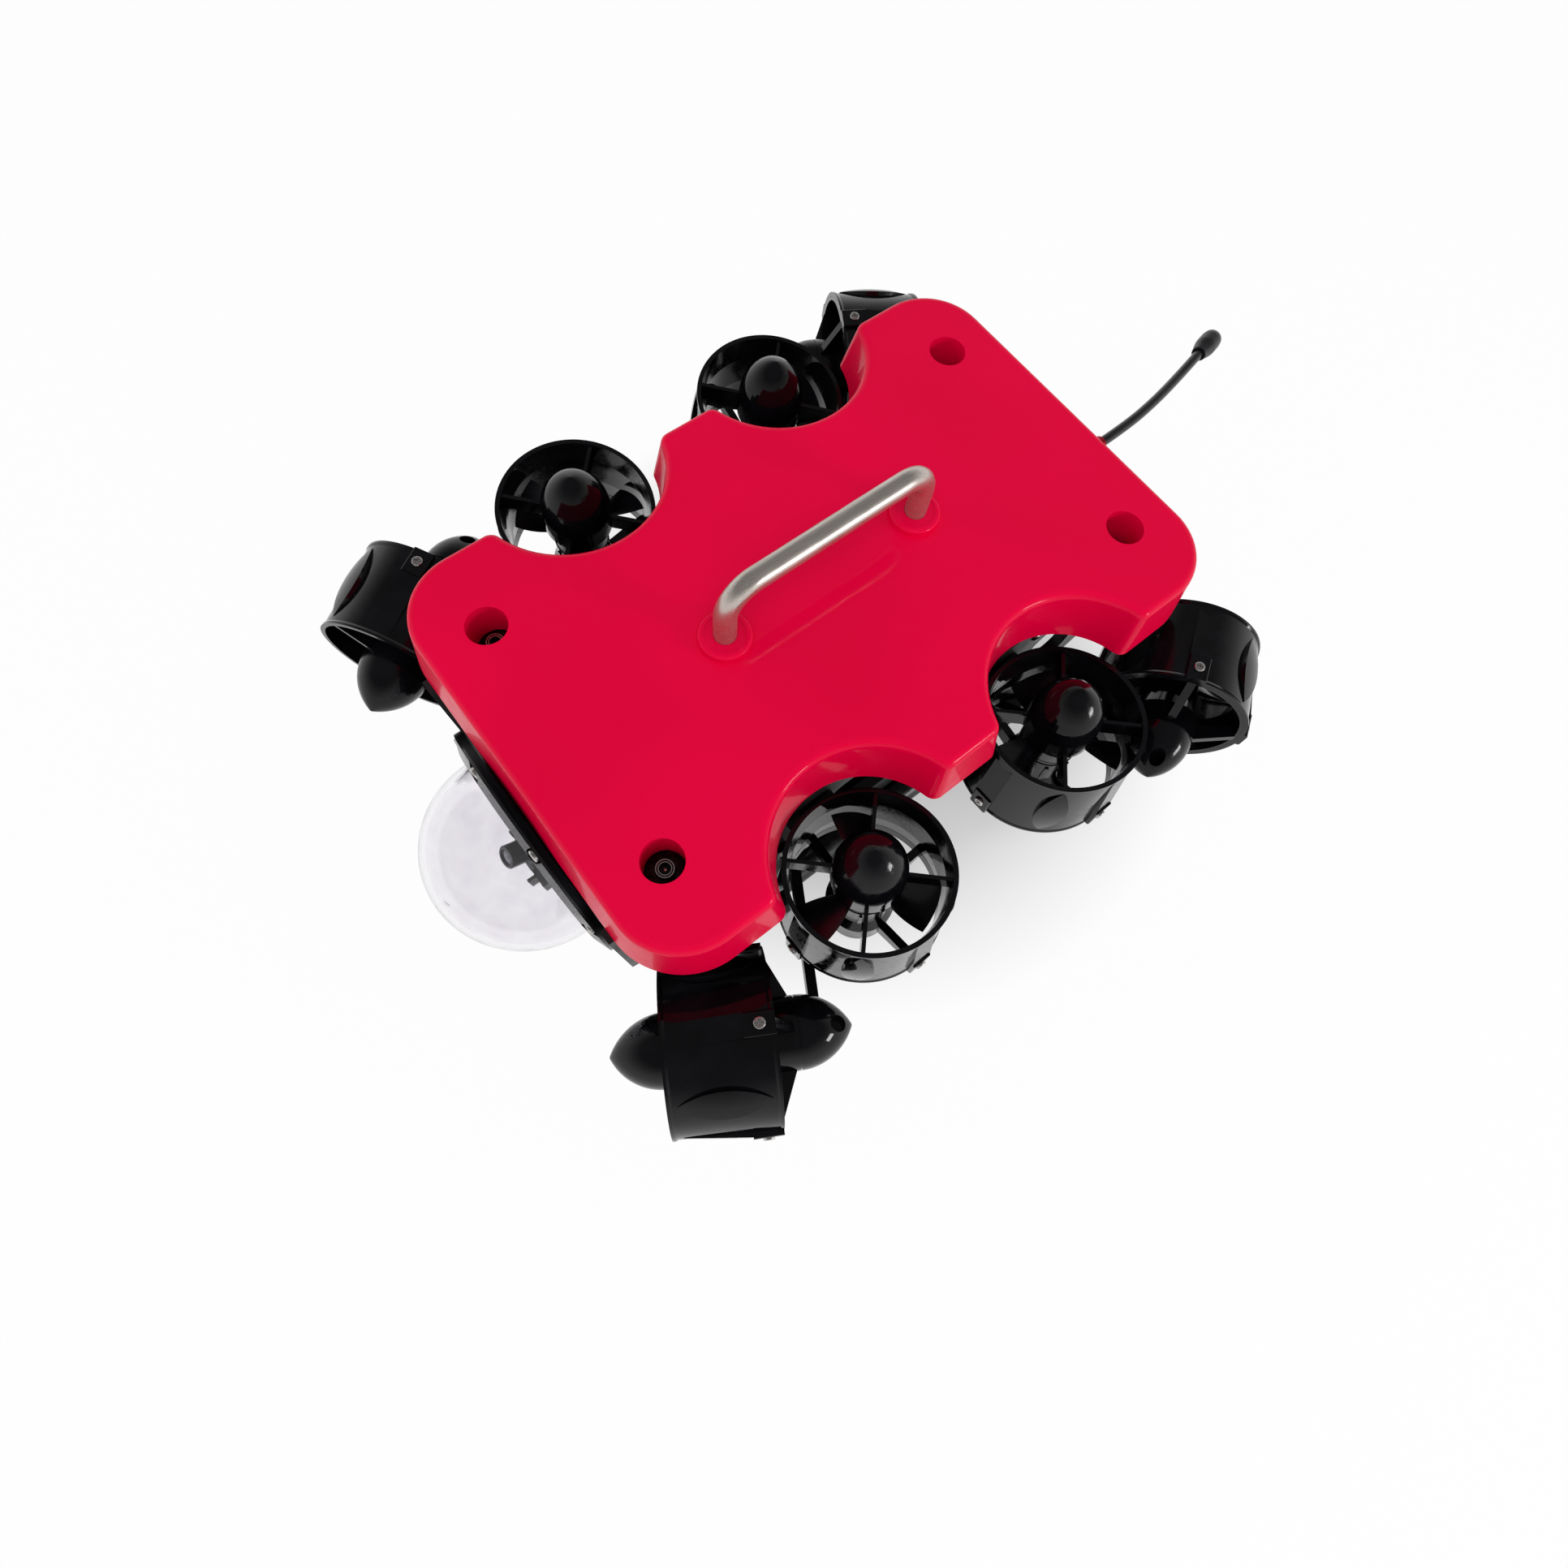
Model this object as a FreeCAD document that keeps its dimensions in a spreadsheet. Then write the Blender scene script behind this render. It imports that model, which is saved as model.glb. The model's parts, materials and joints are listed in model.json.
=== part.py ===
import FreeCAD, Part
import math
import os
import Sketcher
from FreeCAD import Placement, Rotation, Vector

# Underwater inspection vehicle: a red buoyancy block on a black plate frame, a sealed tube with a
# camera dome at the bow, four canted vertical thrusters in the float's scallops and four toed
# horizontal thrusters at the corners.  +X is the bow, +Y is port, +Z is up.  The origin is on the
# ground under the skids, half way between the tip of the dome and the aft thruster noses.

SIZES = (
    # float
    ("float_length", 370, "float top face, fore and aft"),
    ("float_width", 235, "float top face, across"),
    ("float_thickness", 32, "float block, top to bottom"),
    ("float_corner", 32, "corner radius of the top face"),
    ("float_bevel", 5, "rounding of the top edge"),
    ("wall_rake", 5, "how far the wall leans out below the rounding"),
    ("float_top", 190, "top of the float above the ground"),
    ("cusp_radius", 7, "rounding of the points between the scallops"),
    ("scallop_gap", 3.7, "float to thruster rim at the bottom of a scallop"),
    ("well_pitch_x", 312, "float bolt wells, fore and aft"),
    ("well_pitch_y", 150, "float bolt wells, across"),
    ("well_diameter", 21.5, "float bolt well"),
    ("well_floor", 8, "foam left under a well"),
    ("float_bolt", 6, "float bolt shank diameter"),
    ("washer_radius", 10.5, "washer under a float bolt"),
    ("washer_thickness", 1.5, "washer under a float bolt"),
    ("collar_diameter", 27, "raised boss round a handle leg"),
    ("collar_height", 4, "boss above the float top"),
    # handle
    ("rod_diameter", 12, "handle rod"),
    ("handle_pitch", 128, "handle legs, centre to centre"),
    ("handle_rise", 38.5, "handle bar centre above the float"),
    ("handle_bend", 18, "handle bend, centre line radius"),
    ("handle_bolt", 6, "bolt into a handle leg"),
    ("slip_gap", 0.1, "play of a seated round part"),
    # thruster
    ("duct_front_radius", 45, "duct, outside at the nose end"),
    ("duct_rear_radius", 47.7, "duct, outside at the tail end"),
    ("duct_length", 57, "duct along its axis"),
    ("duct_wall", 2, "duct wall"),
    ("guide_radius", 41.8, "duct bore at the propeller"),
    ("tab_width", 12.5, "screw tab and rib, round the duct"),
    ("tab_length", 16, "screw tab along the duct"),
    ("tab_height", 2.6, "screw tab above the duct"),
    ("tab_edge", 1.2, "rounding along a tab's edges"),
    ("leaf_height", 1.4, "low ridge above the duct, between the tabs"),
    ("leaf_width", 17, "low ridge at its widest, round the duct"),
    ("leaf_end", 5, "low ridge's ends from the rims"),
    ("rim_bead", 0.7, "bead round both rims of the duct"),
    ("spider_thickness", 2.2, "nose arm, edge on"),
    ("spider_depth", 12, "nose arm along the axis"),
    ("pod_radius", 20, "nose hub and motor pod"),
    ("nose_length", 30, "nose beyond the front rim"),
    ("nose_tip", 2, "rounding of the nose and tail tips"),
    ("tail_cylinder", 14, "pod behind the rear rim, up to its seam"),
    ("tail_cone", 30.5, "tail cap from the seam to its tip"),
    ("seam_groove", 0.8, "groove where the tail cap meets the pod"),
    ("motor_radius", 16.5, "ribbed motor can"),
    ("seat_ring_depth", 8, "stator ring along the axis"),
    ("stator_thickness", 5, "tail arm, edge on"),
    ("cable_port", 9, "cable port in the tail cap"),
    ("blade_tip", 39.8, "propeller radius"),
    ("blade_count", 3, "propeller blades"),
    ("propeller_hub", 16, "propeller hub radius"),
    ("propeller_depth", 16, "propeller hub along the axis"),
    ("bell_line", 0.5, "lines turned in the propeller hub"),
    ("running_gap", 0.6, "between turning and fixed faces"),
    ("shaft_radius", 3, "motor shaft"),
    ("shaft_play", 0.05, "shaft in the propeller hub"),
    # thruster places
    ("vertical_x", 71.5, "vertical thruster rim, fore and aft"),
    ("vertical_y", 134, "vertical thruster rim, abeam"),
    ("vertical_drop", 37, "vertical thruster rim below the float top"),
    ("vertical_cant", 6, "vertical thruster lean, degrees"),
    ("horizontal_x", 183, "horizontal duct centre, fore and aft"),
    ("horizontal_y", 154, "horizontal duct centre, abeam"),
    ("horizontal_drop", 92.7, "horizontal axis below the float top"),
    ("horizontal_toe", 30.5, "horizontal thruster toe, degrees"),
    ("horizontal_roll", 7, "horizontal thruster roll, degrees"),
    # frame
    ("plate_face", 86, "side plate outer face, abeam"),
    ("plate_thickness", 8, "side plates and bulkheads"),
    ("plate_length", 396, "side plate, fore and aft"),
    ("plate_foot", 6, "side plate above the ground"),
    ("plate_chamfer", 44, "side plate corner cut"),
    ("deck_thickness", 6, "deck plate under the float"),
    ("deck_length", 372, "deck plate, fore and aft"),
    ("window_bottom", 50, "side windows above the ground"),
    ("window_top", 126, "side windows above the ground"),
    ("window_middle", 110, "middle window, fore and aft"),
    ("window_end", 58, "end window, fore and aft"),
    ("web_width", 56, "plate between the windows"),
    ("window_corner", 12, "window corner radius"),
    ("rail_radius", 9, "skid rail"),
    ("rail_length", 360, "skid rail, fore and aft"),
    ("saddle_length", 16, "rail saddle, fore and aft"),
    ("saddle_pitch", 130, "rail saddles, fore and aft"),
    ("bulkhead_pitch", 200, "bulkheads, centre to centre"),
    ("payload_height", 18, "underside of the payload plate above the ground"),
    ("payload_thickness", 6, "payload plate"),
    ("payload_length", 180, "payload plate, fore and aft"),
    ("payload_pitch_x", 120, "payload holes, fore and aft"),
    ("payload_pitch_y", 80, "payload holes, across"),
    ("payload_hole", 5.5, "payload hole diameter"),
    ("arm_height", 10, "thruster strut, tall"),
    ("arm_thickness", 6, "thruster strut, along the pod"),
    ("arm_setback", 13, "thruster strut behind the pod seam"),
    ("foot_length", 26, "strut foot, fore and aft"),
    ("foot_thickness", 4, "strut foot off the side plate"),
    ("cradle_height", 28, "vertical thruster cradle"),
    ("cradle_width", 32, "vertical thruster cradle"),
    # pressure tube
    ("tube_radius", 57, "pressure tube, outside"),
    ("tube_wall", 3, "pressure tube wall"),
    ("tube_drop", 98.5, "tube axis below the float top"),
    ("tube_front", 196, "front end of the tube, from midships"),
    ("tube_length", 346, "pressure tube"),
    ("plug_depth", 20, "end cap plug inside the tube"),
    ("plug_bore", 47, "front plug bore radius"),
    ("plug_gap", 0.1, "plug in tube, radial"),
    ("seal_section", 3, "seal cord diameter"),
    ("flange_radius", 76, "front flange"),
    ("flange_thickness", 4, "front flange plate"),
    ("ring_thickness", 5, "dome retaining ring"),
    ("ring_edge", 1.5, "straight edge of the ring below its slope"),
    ("dome_radius", 59, "camera dome, outside"),
    ("dome_wall", 4, "camera dome wall"),
    ("lip_radius", 64, "camera dome lip"),
    ("lip_thickness", 3, "camera dome lip"),
    ("dome_skirt", 2, "straight stretch of the dome above its lip"),
    ("ring_bolt_circle", 70.5, "dome screws, radius"),
    ("ring_bolt_count", 8, "dome screws"),
    ("ring_screw", 4, "dome screw diameter"),
    ("notch_radius", 4.6, "open notch for a dome screw head"),
    ("cap_thickness", 12, "rear cap outside the tube"),
    ("gland_count", 9, "cable glands in the rear cap"),
    ("gland_circle", 38, "cable gland circle, radius"),
    ("gland_radius", 7, "cable gland across its nut"),
    ("gland_length", 16, "cable gland outside the cap"),
    # camera
    ("camera_rise", 33, "camera tilt at rest, degrees"),
    ("camera_width", 20, "camera housing, across"),
    ("camera_depth", 10, "camera housing behind the barrel"),
    ("barrel_radius", 7, "lens barrel"),
    ("barrel_length", 13, "lens barrel"),
    ("lens_radius", 5, "lens glass"),
    ("trunnion_radius", 2, "camera pivot pin"),
    ("trunnion_play", 0.05, "pivot pin in the bracket"),
    ("bracket_thickness", 3, "camera bracket arm"),
    ("bracket_gap", 0.5, "camera to bracket arm"),
    ("tray_thickness", 3, "electronics tray"),
    ("tray_drop", 8.5, "tray top below the tube axis"),
    # tether
    ("tether_diameter", 6, "tether pigtail"),
    ("tether_abeam", 21, "tether exit to port"),
    ("tether_drop", 14, "tether exit below the float top"),
    ("tether_gland_radius", 4.5, "tether gland"),
    ("tether_gland_reach", 8, "tether gland outside the float"),
    ("connector_radius", 6.5, "tether connector"),
    ("connector_length", 20, "tether connector"),
)

PORT_AND_STARBOARD = (("port", 1), ("starboard", -1))
BOW_AND_STERN = (("front", 1), ("rear", -1))
CORNERS = tuple((sx, sy) for sx in (1, -1) for sy in (1, -1))


class Size:
    """A length that carries both its value and the sheet expression behind it."""

    def __init__(self, value, text):
        self.value = float(value)
        self.text = text

    def join(self, other, sign, value):
        return Size(value, "(%s %s %s)" % (self.text, sign, as_size(other).text))

    def __add__(self, other):
        return self.join(other, "+", self.value + as_size(other).value)

    def __sub__(self, other):
        return self.join(other, "-", self.value - as_size(other).value)

    def __mul__(self, other):
        return self.join(other, "*", self.value * as_size(other).value)

    def __truediv__(self, other):
        return self.join(other, "/", self.value / as_size(other).value)

    def __neg__(self):
        return Size(-self.value, "(-1 * %s)" % self.text)


def as_size(number):
    """Turns a plain number into a Size and leaves a Size as it is."""
    return number if isinstance(number, Size) else Size(number, "%s" % number)


class Bound:
    """Reads the sheet as sizes that expressions can follow."""

    def __getattr__(self, alias):
        return Size(sheet.get(alias), "Sizes.%s" % alias)


class Plain:
    """Reads the sheet as plain numbers."""

    def __getattr__(self, alias):
        return float(sheet.get(alias))


def make_sheet():
    """Fills the spreadsheet that drives every sub-part."""
    page = doc.addObject("Spreadsheet::Sheet", "Sizes")
    for row, (alias, number, note) in enumerate(SIZES, start=1):
        page.set("A%d" % row, note)
        page.set("B%d" % row, "%s" % number)
        page.setAlias("B%d" % row, alias)
    doc.recompute()
    return page


doc = FreeCAD.newDocument("inspection_rov")
sheet = make_sheet()
size = Bound()
num = Plain()
nodes = []


# ---------------------------------------------------------------- places

def toe():
    return math.radians(num.horizontal_toe)


def midships():
    """World x of the float's centre, so that the origin is half way along the whole vehicle."""
    dome_tip = dome_centre() + num.dome_radius
    nose_reach = num.duct_length / 2 + num.nose_length
    aft_tip = num.horizontal_x + nose_reach * math.cos(toe())
    return (aft_tip - dome_tip) / 2


def at(x, y, z):
    """A point given from midships, in the world."""
    return Vector(x + midships(), y, z)


def float_bottom():
    return num.float_top - num.float_thickness


def tube_axis():
    return num.float_top - num.tube_drop


def dome_centre():
    return num.tube_front + num.flange_thickness + num.lip_thickness + num.dome_skirt


def along_bow(x):
    """Placement that lays a part's own +Z along the tube axis towards the bow."""
    return Placement(at(x, 0, tube_axis()), Rotation(Vector(0, 1, 0), 90))


def thruster_places():
    """Name, frame and hand of the eight thrusters; a frame's +Z is the way the nose points."""
    places = []
    cant = math.radians(num.vertical_cant)
    roll = math.radians(num.horizontal_roll)
    for side, sy in PORT_AND_STARBOARD:
        for end, sx in BOW_AND_STERN:
            rim = at(sx * num.vertical_x, sy * num.vertical_y, num.float_top - num.vertical_drop)
            nose = Vector(0, -sy * math.sin(cant), math.cos(cant))
            turn = Rotation(Vector(sx, 0, 0), Vector(0, 0, 0), nose, "ZXY")
            places.append(("vertical_%s_%s" % (end, side), Placement(rim, turn), sx * sy))
            nose = Vector(sx * math.cos(toe()), -sy * math.sin(toe()), 0)
            outboard = Vector(sx * math.sin(toe()), sy * math.cos(toe()), 0)
            height = num.float_top - num.horizontal_drop
            centre = at(sx * num.horizontal_x, sy * num.horizontal_y, height)
            top = Vector(0, 0, math.cos(roll)) - outboard * math.sin(roll)
            turn = Rotation(top, Vector(0, 0, 0), nose, "ZXY")
            rim = centre + nose * (num.duct_length / 2)
            places.append(("horizontal_%s_%s" % (end, side), Placement(rim, turn), -sx * sy))
    return places


# ---------------------------------------------------------------- drawing helpers

class Arc:
    """A round stretch of a path; one coordinate of its centre places it."""

    def __init__(self, axis, centre, turn):
        self.axis = axis
        self.centre = as_size(centre)
        self.turn = turn

    def find_centre(self, start, end):
        """Centre on the bisector of the chord, with the given coordinate."""
        middle = (start + end) * 0.5
        chord = end - start
        if self.axis == "x":
            x = self.centre.value
            y = middle.y + (middle.x - x) * chord.x / chord.y
        else:
            y = self.centre.value
            x = middle.x + (middle.y - y) * chord.y / chord.x
        return Vector(x, y, 0)


def bind(sketch, geometry, point, axis, length):
    """Ties one coordinate of a sketch point to the sheet."""
    if length.value == 0:
        sketch.addConstraint(
            Sketcher.Constraint("PointOnObject", geometry, point, -2 if axis == "x" else -1))
        return
    kind = "DistanceX" if axis == "x" else "DistanceY"
    number = sketch.addConstraint(Sketcher.Constraint(kind, -1, 1, geometry, point, length.value))
    sketch.setExpression("Constraints[%d]" % number, length.text)


def draw(sketch, path, closed=True):
    """Draws corners joined by lines and arcs, each corner bound to the sheet."""
    corners = []
    bends = []
    for step in path:
        if isinstance(step, Arc):
            bends[-1] = step
        else:
            corners.append((as_size(step[0]), as_size(step[1])))
            bends.append(None)
    count = len(corners)
    edges = []
    for index in range(count if closed else count - 1):
        start = Vector(corners[index][0].value, corners[index][1].value, 0)
        following = corners[(index + 1) % count]
        end = Vector(following[0].value, following[1].value, 0)
        bend = bends[index]
        if bend is None:
            edges.append((sketch.addGeometry(Part.LineSegment(start, end)), 1, 2))
            continue
        centre = bend.find_centre(start, end)
        first, last = (start, end) if bend.turn > 0 else (end, start)
        circle = Part.Circle(centre, Vector(0, 0, 1), (start - centre).Length)
        arc = Part.ArcOfCircle(circle, circle.parameter(first), circle.parameter(last))
        number = sketch.addGeometry(arc)
        edges.append((number, 1, 2) if bend.turn > 0 else (number, 2, 1))
    for index, (number, begin, finish) in enumerate(edges):
        if index + 1 < len(edges) or closed:
            other = edges[(index + 1) % len(edges)]
            sketch.addConstraint(
                Sketcher.Constraint("Coincident", number, finish, other[0], other[1]))
        bind(sketch, number, begin, "x", corners[index][0])
        bind(sketch, number, begin, "y", corners[index][1])
        if bends[index] is not None:
            bind(sketch, number, 3, bends[index].axis, bends[index].centre)
    if not closed:
        number, begin, finish = edges[-1]
        bind(sketch, number, finish, "x", corners[-1][0])
        bind(sketch, number, finish, "y", corners[-1][1])


def rounded_box(left, right, low, high, radius):
    """Path of a rectangle with four round corners, anticlockwise."""
    return [(left + radius, low), (right - radius, low), Arc("x", right - radius, 1),
            (right, low + radius), (right, high - radius), Arc("y", high - radius, 1),
            (right - radius, high), (left + radius, high), Arc("x", left + radius, 1),
            (left, high - radius), (left, low + radius), Arc("y", low + radius, 1)]


def new_body(label):
    return doc.addObject("PartDesign::Body", label)


def new_sketch(body, name, plane, path=None, closed=True):
    """Sketch on one of the body's own origin planes."""
    sketch = body.newObject("Sketcher::SketchObject", name)
    planes = [item for item in body.Origin.OriginFeatures if item.Role == plane + "_Plane"]
    sketch.AttachmentSupport = [(planes[0], "")]
    sketch.MapMode = "FlatFace"
    if path:
        draw(sketch, path, closed)
    return sketch


def pad(body, name, sketch, length, symmetric=False, backwards=False):
    feature = body.newObject("PartDesign::Pad", name)
    feature.Profile = sketch
    feature.setExpression("Length", as_size(length).text)
    feature.SideType = "Symmetric" if symmetric else "One side"
    feature.Reversed = backwards
    return feature


def cut_through(body, name, sketch):
    """Pocket through everything, both ways from the sketch."""
    feature = body.newObject("PartDesign::Pocket", name)
    feature.Profile = sketch
    feature.Type = "ThroughAll"
    feature.SideType = "Symmetric"
    return feature


def revolve(body, name, sketch, cut=False):
    """Full turn of a sketch about the body's Z axis."""
    kind = "PartDesign::Groove" if cut else "PartDesign::Revolution"
    feature = body.newObject(kind, name)
    feature.Profile = sketch
    feature.ReferenceAxis = (sketch, ["V_Axis"])
    feature.Angle = 360
    return feature


def turned(label, path):
    """Body made by turning one profile of radius and height about Z."""
    body = new_body(label)
    revolve(body, "turned", new_sketch(body, "profile", "XZ", path))
    return body


def spread(body, name, features, count):
    """Repeats features round the body's Z axis."""
    axes = [item for item in body.Origin.OriginFeatures if item.Role == "Z_Axis"]
    pattern = body.newObject("PartDesign::PolarPattern", name)
    pattern.Originals = features
    pattern.Axis = (axes[0], [""])
    pattern.Angle = 360
    pattern.setExpression("Occurrences", as_size(count).text)
    body.Tip = pattern
    return pattern


def put(feature, x, y, z):
    """Binds a primitive's place in its body to the sheet."""
    for axis, length in (("x", x), ("y", y), ("z", z)):
        length = as_size(length)
        setattr(feature.Placement.Base, axis, length.value)
        feature.setExpression("Placement.Base.%s" % axis, length.text)


def cylinder(body, name, radius, height, x, y, z, cut=True):
    kind = "PartDesign::SubtractiveCylinder" if cut else "PartDesign::AdditiveCylinder"
    feature = body.newObject(kind, name)
    feature.setExpression("Radius", as_size(radius).text)
    feature.setExpression("Height", as_size(height).text)
    put(feature, x, y, z)
    return feature


def dress(body, kind, name, find_edges, amount, length):
    """Fillet or chamfer on the edges that find_edges picks out of the body so far."""
    doc.recompute()
    edges = find_edges(body)
    before = body.Tip
    feature = body.newObject(kind, name)
    feature.Base = (before, edges)
    feature.setExpression(amount, as_size(length).text)
    body.Tip = feature
    return feature


def keep(feature, label, placement=None):
    """Registers a finished sub-part under its node name."""
    feature.Label = label
    if placement is not None:
        feature.Placement = placement
    nodes.append(feature)
    return feature


def shape_node(label, shape, placement=None):
    """Sub-part whose shape is worked out here from the sheet."""
    feature = doc.addObject("Part::Feature", label)
    feature.Shape = shape
    return keep(feature, label, placement)


def rod(radius, start, end):
    return Part.makeCylinder(radius, (end - start).Length, start, end - start)


def block(x0, x1, y0, y1, z0, z1):
    return Part.makeBox(x1 - x0, y1 - y0, z1 - z0, Vector(x0, y0, z0))


def moved(shape, placement):
    copy = shape.copy()
    copy.Placement = placement
    return copy


# ---------------------------------------------------------------- float and handle

def make_float():
    """Foam block with raked walls, rounded top, scallops, bolt wells and handle bosses."""
    body = new_body("float_block")
    spill = size.float_bevel + size.wall_rake
    half_length = size.float_length / 2 + spill
    half_width = size.float_width / 2 + spill
    outline = rounded_box(-half_length, half_length, -half_width, half_width,
                          size.float_corner + spill)
    block_pad = pad(body, "blank", new_sketch(body, "outline", "XY", outline),
                    size.float_thickness)
    rake = size.wall_rake / (size.float_thickness - size.float_bevel)
    block_pad.setExpression("TaperAngle", "-atan(%s)" % rake.text)
    low_radius = size.duct_front_radius + size.scallop_gap
    for number, (sx, sy) in enumerate(CORNERS):
        cone = body.newObject("PartDesign::SubtractiveCone", "scallop%d" % number)
        cone.setExpression("Radius1", low_radius.text)
        cone.setExpression("Radius2", (low_radius + rake * size.float_thickness).text)
        cone.setExpression("Height", size.float_thickness.text)
        put(cone, size.vertical_x * sx, size.vertical_y * sy, 0)
    dress(body, "PartDesign::Fillet", "cusps", cusp_edges, "Radius", size.cusp_radius)
    dress(body, "PartDesign::Fillet", "top_edge", top_edges, "Radius", size.float_bevel)
    deep = size.float_thickness - size.well_floor
    for number, (sx, sy) in enumerate(CORNERS):
        x, y = size.well_pitch_x / 2 * sx, size.well_pitch_y / 2 * sy
        cylinder(body, "well%d" % number, size.well_diameter / 2, deep, x, y, size.well_floor)
        cylinder(body, "bolt_hole%d" % number, size.float_bolt / 2 + size.slip_gap,
                 size.well_floor, x, y, 0)
    for name, sx in BOW_AND_STERN:
        x = size.handle_pitch / 2 * sx
        cylinder(body, "boss_" + name, size.collar_diameter / 2, size.collar_height,
                 x, 0, size.float_thickness, cut=False)
        cylinder(body, "leg_hole_" + name, size.rod_diameter / 2 + size.slip_gap,
                 size.float_thickness + size.collar_height, x, 0, 0)
    gland = cylinder(body, "gland_hole", size.tether_gland_radius + size.slip_gap,
                     size.tether_gland_radius * 6, -half_length, size.tether_abeam,
                     size.float_thickness - size.tether_drop)
    gland.Placement = Placement(gland.Placement.Base, Rotation(Vector(0, 1, 0), 90))
    dress(body, "PartDesign::Fillet", "boss_rims", boss_edges, "Radius", size.collar_height / 3)
    keep(body, "float_block", Placement(at(0, 0, float_bottom()), Rotation()))


def cusp_edges(body):
    """Edges of the points that the scallops leave along the sides."""
    found = []
    for number, edge in enumerate(body.Shape.Edges, start=1):
        box = edge.BoundBox
        stands = box.ZLength > 0.9 * num.float_thickness
        abeam = abs(box.Center.y) > num.float_width / 2 - num.cusp_radius * 2
        amid = abs(box.Center.x) < num.vertical_x + num.duct_front_radius + num.wall_rake * 3
        if stands and abeam and amid:
            found.append("Edge%d" % number)
    return found


def top_edges(body):
    """Edges of the top face."""
    found = []
    for number, edge in enumerate(body.Shape.Edges, start=1):
        box = edge.BoundBox
        if box.ZMin > num.float_thickness - 0.001:
            found.append("Edge%d" % number)
    return found


def boss_edges(body):
    """Outer edges on top of the handle bosses."""
    found = []
    for number, edge in enumerate(body.Shape.Edges, start=1):
        box = edge.BoundBox
        high = box.ZMin > num.float_thickness + num.collar_height - 0.001
        if high and box.XLength > num.collar_diameter - 1:
            found.append("Edge%d" % number)
    return found


def make_handle():
    """Bent rod handle standing on the deck plate."""
    body = new_body("carry_handle")
    half = size.handle_pitch / 2
    bar = size.float_thickness + size.handle_rise
    turn = size.handle_bend
    route = [(-half, 0), (-half, bar - turn), Arc("x", turn - half, -1), (turn - half, bar),
             (half - turn, bar), Arc("y", bar - turn, -1), (half, bar - turn), (half, 0)]
    spine = new_sketch(body, "centre_line", "XZ", route, closed=False)
    ring = new_sketch(body, "section", "XY")
    circle = ring.addGeometry(Part.Circle(Vector(-half.value, 0, 0), Vector(0, 0, 1), 1))
    bind(ring, circle, 3, "x", -half)
    bind(ring, circle, 3, "y", as_size(0))
    number = ring.addConstraint(Sketcher.Constraint("Radius", circle, num.rod_diameter / 2))
    ring.setExpression("Constraints[%d]" % number, (size.rod_diameter / 2).text)
    pipe = body.newObject("PartDesign::AdditivePipe", "rod")
    pipe.Profile = ring
    pipe.Spine = spine
    for name, sx in BOW_AND_STERN:
        cylinder(body, "thread_" + name, size.handle_bolt / 2, size.rod_diameter * 1.5,
                 half * sx, 0, 0)
    keep(body, "carry_handle", Placement(at(0, 0, float_bottom()), Rotation()))


def bolt(radius, length, head_radius, head_height, socket_radius):
    """Socket head bolt along -Z with the underside of its head at the origin."""
    shank = Part.makeCylinder(radius, length, Vector(0, 0, -length))
    head = Part.makeCylinder(head_radius, head_height)
    socket = Part.makeCylinder(socket_radius, head_height * 0.6, Vector(0, 0, head_height * 0.4))
    return shank.fuse(head).cut(socket).removeSplitter()


def make_bolts():
    """Float bolts with washers down the wells, and handle bolts up through the deck."""
    radius = num.float_bolt / 2
    lift = num.washer_thickness
    reach = num.well_floor + num.deck_thickness + lift
    one = bolt(radius, reach, num.float_bolt * 0.85, num.float_bolt, radius * 0.85)
    washer = Part.makeCylinder(num.washer_radius, lift, Vector(0, 0, -lift))
    washer = washer.cut(Part.makeCylinder(radius + num.slip_gap, lift, Vector(0, 0, -lift)))
    floor = float_bottom() + num.well_floor + lift
    group = []
    for sx, sy in CORNERS:
        seat = at(sx * num.well_pitch_x / 2, sy * num.well_pitch_y / 2, floor)
        group.append(moved(one, Placement(seat, Rotation())))
        group.append(moved(washer, Placement(seat, Rotation())))
    shape_node("float_bolts", Part.makeCompound(group))
    radius = num.handle_bolt / 2 - num.slip_gap
    reach = num.deck_thickness + num.rod_diameter
    one = bolt(radius, reach, num.handle_bolt * 0.85, num.handle_bolt * 0.5, radius * 0.8)
    under = float_bottom() - num.deck_thickness
    flip = Rotation(Vector(1, 0, 0), 180)
    group = [moved(one, Placement(at(sx * num.handle_pitch / 2, 0, under), flip))
             for sx in (1, -1)]
    shape_node("handle_bolts", Part.makeCompound(group))


# ---------------------------------------------------------------- frame

def inner_face():
    return size.plate_face - size.plate_thickness


def make_deck():
    """Deck plate that carries the float between the side plates."""
    body = new_body("deck_plate")
    half = size.deck_length / 2
    wide = inner_face()
    outline = rounded_box(-half, half, -wide, wide, size.deck_thickness)
    pad(body, "plate", new_sketch(body, "outline", "XY", outline), size.deck_thickness)
    for number, (sx, sy) in enumerate(CORNERS):
        cylinder(body, "float_hole%d" % number, size.float_bolt / 2 + size.slip_gap,
                 size.deck_thickness, size.well_pitch_x / 2 * sx, size.well_pitch_y / 2 * sy, 0)
    for name, sx in BOW_AND_STERN:
        cylinder(body, "handle_hole_" + name, size.handle_bolt / 2 + size.slip_gap,
                 size.deck_thickness, size.handle_pitch / 2 * sx, 0, 0)
    keep(body, "deck_plate", Placement(at(0, 0, float_bottom() - num.deck_thickness), Rotation()))


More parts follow.
